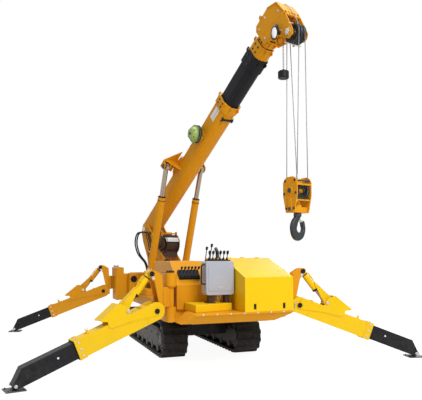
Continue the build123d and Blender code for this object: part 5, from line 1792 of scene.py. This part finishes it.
class CRANE_OT_hook(bpy.types.Operator):
    """Hook block with its sheaves and straps, hook with its collar and latch"""
    bl_idname = "crane.hook"
    bl_label = "Hook block fittings"

    def execute(self, context):
        axle = joint_at("rope_swing")
        block = place((axle.x, axle.y, 2.610), flat(BOOM_AXIS), BOOM_SIDE)
        up = rise_of(block)
        self.body(block, up)
        bolts = bmesh.new()
        trim = bmesh.new()
        for flank in (-1, 1):
            axis = turn_of(block, (0, 0, flank))
            disc(trim, block, (0, -up * 0.190), 0.052, flank * 0.139, flank * 0.149, 40)
            pin_head(bolts, block, (0, -up * 0.190, flank * 0.147), (0, 0, flank), 0.034, 0.012)
            for x, y in ((-0.095, 0.055), (0.095, 0.055), (-0.115, 0.23), (0.115, 0.23),
                         (-0.075, 0.44), (0.075, 0.44)):
                bolt(bolts, block, (x, -up * y, flank * 0.140), (0, 0, flank), 0.022)
            rib = rounded([(-0.030, -up * 0.29), (0.030, -up * 0.29),
                           (0.040, -up * 0.478), (-0.040, -up * 0.478)], 0.012)
            prism(trim, block, rib, flank * 0.139, flank * 0.150)
            pin_head(bolts, block, (0, -up * 0.448, flank * 0.148), (0, 0, flank), 0.026, 0.012)
        for front in (-1, 1):
            for drop in (0.060, 0.300):
                round_bar(bolts, block, (front * 0.112, -up * drop, 0), 0.009, 0.138, 16)
        piece("block_bolts", bolts, "hook", "steel")
        soften(piece("block_trim", trim, "hook", "amber"), 0.002)
        self.wheels(block, up)
        self.socket(block, up)
        self.hook_parts(axle)
        return {"FINISHED"}

    def body(self, block, up):
        """Side plates, straps and crosshead of the hook block."""
        mesh = bmesh.new()
        twin(mesh, block, rounded([(x, -up * y) for x, y in BLOCK_SIDE], 0.020), 0.124, 0.140)
        for front in (-1, 1):
            for drop, tall, deep in ((0.100, 0.024, 0.134), (0.318, 0.020, 0.114)):
                slab(mesh, block, (front * (deep - 0.006), front * (deep + 0.006)),
                     (-up * drop, -up * (drop + tall)), (-0.130, 0.130))
        slab(mesh, block, (-0.060, 0.060), (-up * 0.420, -up * 0.498), (-0.130, 0.130))
        boss = about(block, (0, -up * 0.498, 0), (0, up, 0))
        lathe(mesh, boss, ((0, 0), (0, 0.062), (0.070, 0.066), (0.110, 0.052), (0.160, 0.036),
                           (0.160, 0)), 36)
        round_bar(mesh, block, (0, -up * 0.190, 0), 0.030, 0.148)
        form = piece("block_form", mesh, "hook", "amber", sharp=30)
        soften(form, 0.003)
        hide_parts("hook_block")

    def wheels(self, block, up):
        mesh = bmesh.new()
        for n in (-1, 1):
            hub = about(block, (0, -up * 0.190, n * BLOCK_PITCH), (0, 0, 1))
            lathe(mesh, hub, ((-0.0185, 0.028), (-0.0185, 0.050), (-0.011, 0.054), (-0.011, 0.098),
                              (-0.0192, 0.104), (-0.0192, 0.1225), (-0.013, 0.1225),
                              (-0.0065, 0.1075), (0.0065, 0.1075), (0.013, 0.1225),
                              (0.0192, 0.1225), (0.0192, 0.104), (0.011, 0.098), (0.011, 0.054),
                              (0.0185, 0.050), (0.0185, 0.028)), 56)
        piece("block_wheels", mesh, "hook", "steel")

    def socket(self, block, up):
        mesh = bmesh.new()
        shaft = about(block, (0.0, up * 0.010, 0), (0, up, 0))
        lathe(mesh, shaft, ((-0.060, 0), (-0.060, 0.022), (0.0, 0.022), (0.030, 0.013),
                            (0.030, 0)), 24)
        piece("rope_socket", mesh, "hook", "pale")
        mesh = bmesh.new()
        slab(mesh, block, (-0.014, 0.014), (-up * 0.020, -up * 0.085), (-0.138, 0.138))
        piece("socket_bridge", mesh, "hook", "amber")

    def hook_parts(self, axle):
        centre = Vector((axle.x, axle.y, 1.904))
        aside = -BOOM_SIDE
        where = place(centre, aside, aside.cross(UP))
        rise = rise_of(where)
        self.forging(where, rise)
        mesh = bmesh.new()
        shank = place((axle.x, axle.y, 2.110), aside, UP)
        lathe(mesh, shank, ((-0.052, 0), (-0.052, 0.050), (-0.046, 0.056), (-0.014, 0.056),
                            (-0.008, 0.050), (-0.002, 0.050), (-0.002, 0)), 40)
        piece("hook_collar", mesh, "hook", "steel")
        mesh = bmesh.new()
        for flank in (-1, 1):
            latch = [(0.000, rise * 0.118), (0.020, rise * 0.128), (0.088, rise * 0.084),
                     (0.080, rise * 0.066)]
            prism(mesh, where, rounded(latch, 0.006), flank * 0.022, flank * 0.027)
        latch = [(0.004, rise * 0.112), (0.016, rise * 0.126), (0.084, rise * 0.082),
                 (0.076, rise * 0.068)]
        prism(mesh, where, latch, -0.023, 0.023)
        round_bar(mesh, where, (0.012, rise * 0.116, 0), 0.008, 0.040, 16)
        piece("hook_latch", mesh, "hook", "zinc")

    def forging(self, where, rise):
        """The hook: heavy on its back and under the bowl, round-edged, with a narrow throat."""
        outer = [(-0.034, 0.186), (-0.050, 0.150)]
        outer += self.bent((-0.050, 0.150), (-0.104, 0.084), (-0.127, 0.0))
        outer += self.bent((-0.127, 0.0), (-0.090, -0.131), (0.0, -0.184))
        outer += self.bent((0.0, -0.184), (0.092, -0.126), (0.127, -0.004))
        outer += [(0.110, 0.084)]
        outer += self.bent((0.110, 0.084), (0.084, 0.100), (0.060, 0.080))
        outer += [(0.022 + 0.060 * cos(radians(a)), -0.012 + 0.060 * sin(radians(a)))
                  for a in range(30, -211, -20)]
        outer += [(-0.014, 0.070), (0.004, 0.102), (0.040, 0.150), (0.034, 0.186)]
        mesh = bmesh.new()
        prism(mesh, where, [(x, rise * y) for x, y in outer], -0.032, 0.032)
        shank = place(where @ Vector((0, rise * 0.150, 0)), turn_of(where, (1, 0, 0)), UP)
        lathe(mesh, shank, ((0, 0), (0, 0.036), (0.056, 0.036), (0.056, 0)), 32)
        form = piece("hook_form", mesh, "hook", "steel", sharp=50)
        soften(form, 0.011, 3)
        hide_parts("hook")

    def bent(self, start, middle, end, steps=7):
        """Points on a smooth curve through three points, without its first one."""
        a, b, c = Vector(start), Vector(middle), Vector(end)
        handle = 2 * b - (a + c) / 2
        points = []
        for n in range(1, steps + 1):
            t = n / steps
            points.append(tuple((1 - t) ** 2 * a + 2 * t * (1 - t) * handle + t ** 2 * c))
        return points


class CRANE_OT_cover(bpy.types.Operator):
    """Hinges, latches, vents and exhaust of the engine cover, deck skirt, step and rear tank"""
    bl_idname = "crane.cover"
    bl_label = "Cover and deck fittings"

    def execute(self, context):
        low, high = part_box("engine_cover")
        mesh = bmesh.new()
        side = place((high.x, 0, 0), (0, 1, 0), (1, 0, 0))
        for n in range(9):
            z = 0.98 + n * 0.032
            louvre = oblong(-1.62, -1.24, z, z + 0.016)
            prism(mesh, side, louvre, -0.001, 0.007)
        rim = oblong(-2.05, -1.12, 0.800, 0.812)
        prism(mesh, side, rim, -0.001, 0.004)
        top = place((0, 0, high.z), (1, 0, 0), UP)
        for y in (-1.78, -1.22):
            for x in (low.x + 0.10, high.x - 0.16):
                slab(mesh, top, (x, x + 0.06), (y, y + 0.012), (-0.001, 0.010))
                lathe(mesh, about(top, (x + 0.03, y + 0.006, 0.006), (1, 0, 0)),
                      ((-0.032, 0), (-0.032, 0.008), (0.032, 0.008), (0.032, 0)), 14)
        soften(piece("cover_trim", mesh, "chassis", "yellow"), 0.002)
        mesh = bmesh.new()
        for x in (low.x + 0.14, high.x - 0.14):
            slab(mesh, WORLD, (x - 0.016, x + 0.016), (low.y - 0.0075, low.y + 0.001),
                 (0.815, 0.885))
            slab(mesh, WORLD, (x - 0.010, x + 0.010), (low.y - 0.014, low.y - 0.006),
                 (0.850, 0.878))
        soften(piece("cover_latches", mesh, "chassis", "black plastic"), 0.0015)
        mesh = bmesh.new()
        pipe = [(low.x + 0.16, -1.20, high.z - 0.01), (low.x + 0.16, -1.20, high.z + 0.10),
                (low.x + 0.16, -1.13, high.z + 0.15)]
        tube(mesh, soft_path(pipe, 0.05), 0.028, 20)
        ring(mesh, top, (low.x + 0.16, -1.20), 0.045, 0.028, -0.001, 0.008, 32)
        piece("exhaust", mesh, "chassis", "steel")
        self.skirt()
        self.deck()
        self.tank()
        return {"FINISHED"}

    def skirt(self):
        """Folded deck skirt with slanted ends, and the step beside the engine."""
        front = place((0, -2.660, 0), (1, 0, 0), (0, -1, 0))
        rise = rise_of(front)
        outline = [(-0.658, 0.780), (-0.820, 0.650), (0.500, 0.644), (0.735, 0.740), (0.735, 0.780)]
        mesh = bmesh.new()
        prism(mesh, front, [(x, rise * y) for x, y in outline], -0.419, 0)
        for vert in mesh.verts:
            if vert.co.y < -2.650 and vert.co.z < 0.760:
                vert.co.y += 0.75 * (0.780 - vert.co.z)
        slab(mesh, WORLD, (-0.662, 0.735), (-2.665, -2.640), (0.757, 0.7805))
        form = piece("deck_skirt", mesh, "chassis", "amber")
        soften(form, 0.006, 3)
        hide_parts("front_deck")
        mesh = bmesh.new()
        prism(mesh, WORLD, ((-0.592, -2.490), (-0.020, -2.320), (-0.020, -1.995), (-0.592, -1.995)),
              0.780, 0.880)
        form = piece("step", mesh, "chassis", "yellow")
        soften(form, 0.008, 3)
        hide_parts("step_box")

    def deck(self):
        mesh = bmesh.new()
        for n in range(7):
            bolt(mesh, WORLD, (-0.55 + n * 0.19, -2.665, 0.769), (0, -1, 0), 0.014)
        piece("deck_bolts_front", mesh, "chassis", "zinc")
        mesh = bmesh.new()
        for row in range(5):
            for n in range(9):
                spot = place((-0.545 + n * 0.058, -2.30 + row * 0.062, 0.8800),
                             (cos(0.7 + pi / 2 * (n + row)), sin(0.7 + pi / 2 * (n + row)), 0), UP)
                stud = rounded(oblong(-0.018, 0.018, -0.004, 0.004), 0.0035, 2)
                prism(mesh, spot, stud, -0.001, 0.0022)
        piece("step_tread", mesh, "chassis", "yellow")

    def tank(self):
        """Tank and box at the rear left corner."""
        low, high = Vector((-0.545, 1.530, 0.778)), Vector((0.040, 2.060, 1.180))
        mesh = bmesh.new()
        slab(mesh, WORLD, (low.x, high.x), (low.y, high.y), (low.z, high.z))
        soften(piece("rear_tank", mesh, "chassis", "amber"), 0.012, 3)
        mesh = bmesh.new()
        slab(mesh, WORLD, (-0.660, low.x + 0.010), (1.530, 1.690), (low.z, high.z))
        slab(mesh, WORLD, (-0.746, -0.550), (1.702, 1.800), (0.760, 1.166))
        soften(piece("corner_box", mesh, "chassis", "amber"), 0.008)
        mesh = bmesh.new()
        centre = Vector(((low.x + high.x) / 2, (low.y + high.y) / 2, high.z))
        cap = place(centre - UP * 0.001, (1, 0, 0), UP)
        lathe(mesh, cap, ((0, 0), (0, 0.056), (0.020, 0.056), (0.026, 0.050), (0.026, 0.022),
                          (0.036, 0.018), (0.036, 0)), 36)
        piece("tank_cap", mesh, "chassis", "black plastic")
        mesh = bmesh.new()
        face = place((low.x, 0, 0), (0, -1, 0), (-1, 0, 0))
        for y in (-(low.y + 0.10), -(high.y - 0.10)):
            slab(mesh, face, (y - 0.015, y + 0.015), (0.785, 1.165), (-0.001, 0.006))
        soften(piece("tank_straps", mesh, "chassis", "zinc"), 0.0015)
        front = place((0, low.y, 0), (1, 0, 0), (0, -1, 0))
        rise = rise_of(front)
        mesh = bmesh.new()
        ring(mesh, front, (-0.575, rise * 1.06), 0.064, 0.050, -0.001, 0.010, 36)
        disc(mesh, front, (-0.575, rise * 1.06), 0.051, -0.001, 0.003)
        piece("tank_port", mesh, "chassis", "black")


# Carried-over pieces

FINISH_OF = (             # start of the node's name, finish, edge rounding in millimetres
    ("track_frame_", "frame grey", 4),
    ("track_", "rubber", 6),
    ("leg_inner_", "black", 4),
    ("foot_pad_", "steel", 3),
    ("leg_rod_", "chrome", 2),
    # The front legs, cover and step get the yellow paint in painted light. The other painted nodes
    # get the amber, the same paint in painted shade.
    ("leg_outer_front", "yellow", 5),
    ("leg_barrel_front", "yellow", 4),
    ("leg_", "amber", 5),
    ("engine_cover", "yellow", 20),
    ("engine", "black", 6),
    ("front_deck", "amber", 6),
    ("step_box", "yellow", 5),
    ("control_box", "box grey", 8),
    ("levers", "black plastic", 2),
    ("ram_rods", "chrome", 2),
    ("boom_second", "black", 5),
    ("winch", "brown", 3),
    ("head_sheaves", "steel", 3),
    ("hook_block", "amber", 5),
    ("hook", "steel", 3),
    ("hoist_ropes", "rope", 0),
    ("cable_reel", "reel green", 4),
    ("chassis", "two tone", 5),
    ("", "amber", 5),
)


class CRANE_OT_finish_nodes(bpy.types.Operator):
    """Paint and rounded edges on every piece that keeps its own shape"""
    bl_idname = "crane.finish_nodes"
    bl_label = "Finish the carried-over pieces"

    def execute(self, context):
        for name, obj in NODES.items():
            finish, rounding = next((f, r) for start, f, r in FINISH_OF if name.startswith(start))
            paint(obj, finish)
            if rounding:
                soften(obj, rounding / 1000)
        return {"FINISHED"}


class CRANE_PT_panel(bpy.types.Panel):
    """Settings and steps of the crane's finish"""
    bl_label = "Spider crane"
    bl_idname = "CRANE_PT_panel"
    bl_space_type = "VIEW_3D"
    bl_region_type = "UI"
    bl_category = "Spider crane"

    def draw(self, context):
        layout = self.layout
        for group in (context.scene.crane_colours, context.scene.crane_sizes,
                      context.scene.crane_studio):
            box = layout.box()
            for key in group.__annotations__:
                box.prop(group, key)
        for step in STEPS:
            layout.operator(step.bl_idname)


STEPS = (CRANE_OT_stage, CRANE_OT_finish_nodes, CRANE_OT_tracks, CRANE_OT_legs,
         CRANE_OT_controls, CRANE_OT_column, CRANE_OT_rams, CRANE_OT_boom, CRANE_OT_head,
         CRANE_OT_rigging, CRANE_OT_hook, CRANE_OT_cover)
CLASSES = (CraneColours, CraneSizes, CraneStudio, *STEPS, CRANE_PT_panel)


def register():
    for cls in CLASSES:
        bpy.utils.register_class(cls)
    bpy.types.Scene.crane_colours = bpy.props.PointerProperty(type=CraneColours)
    bpy.types.Scene.crane_sizes = bpy.props.PointerProperty(type=CraneSizes)
    bpy.types.Scene.crane_studio = bpy.props.PointerProperty(type=CraneStudio)


def unregister():
    del bpy.types.Scene.crane_studio
    del bpy.types.Scene.crane_sizes
    del bpy.types.Scene.crane_colours
    for cls in reversed(CLASSES):
        bpy.utils.unregister_class(cls)


def main():
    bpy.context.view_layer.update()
    register()
    for step in STEPS:
        group, action = step.bl_idname.split(".")
        if getattr(getattr(bpy.ops, group), action)() != {"FINISHED"}:
            raise RuntimeError(f"{step.bl_label} did not finish")


if __name__ == "__main__":
    main()
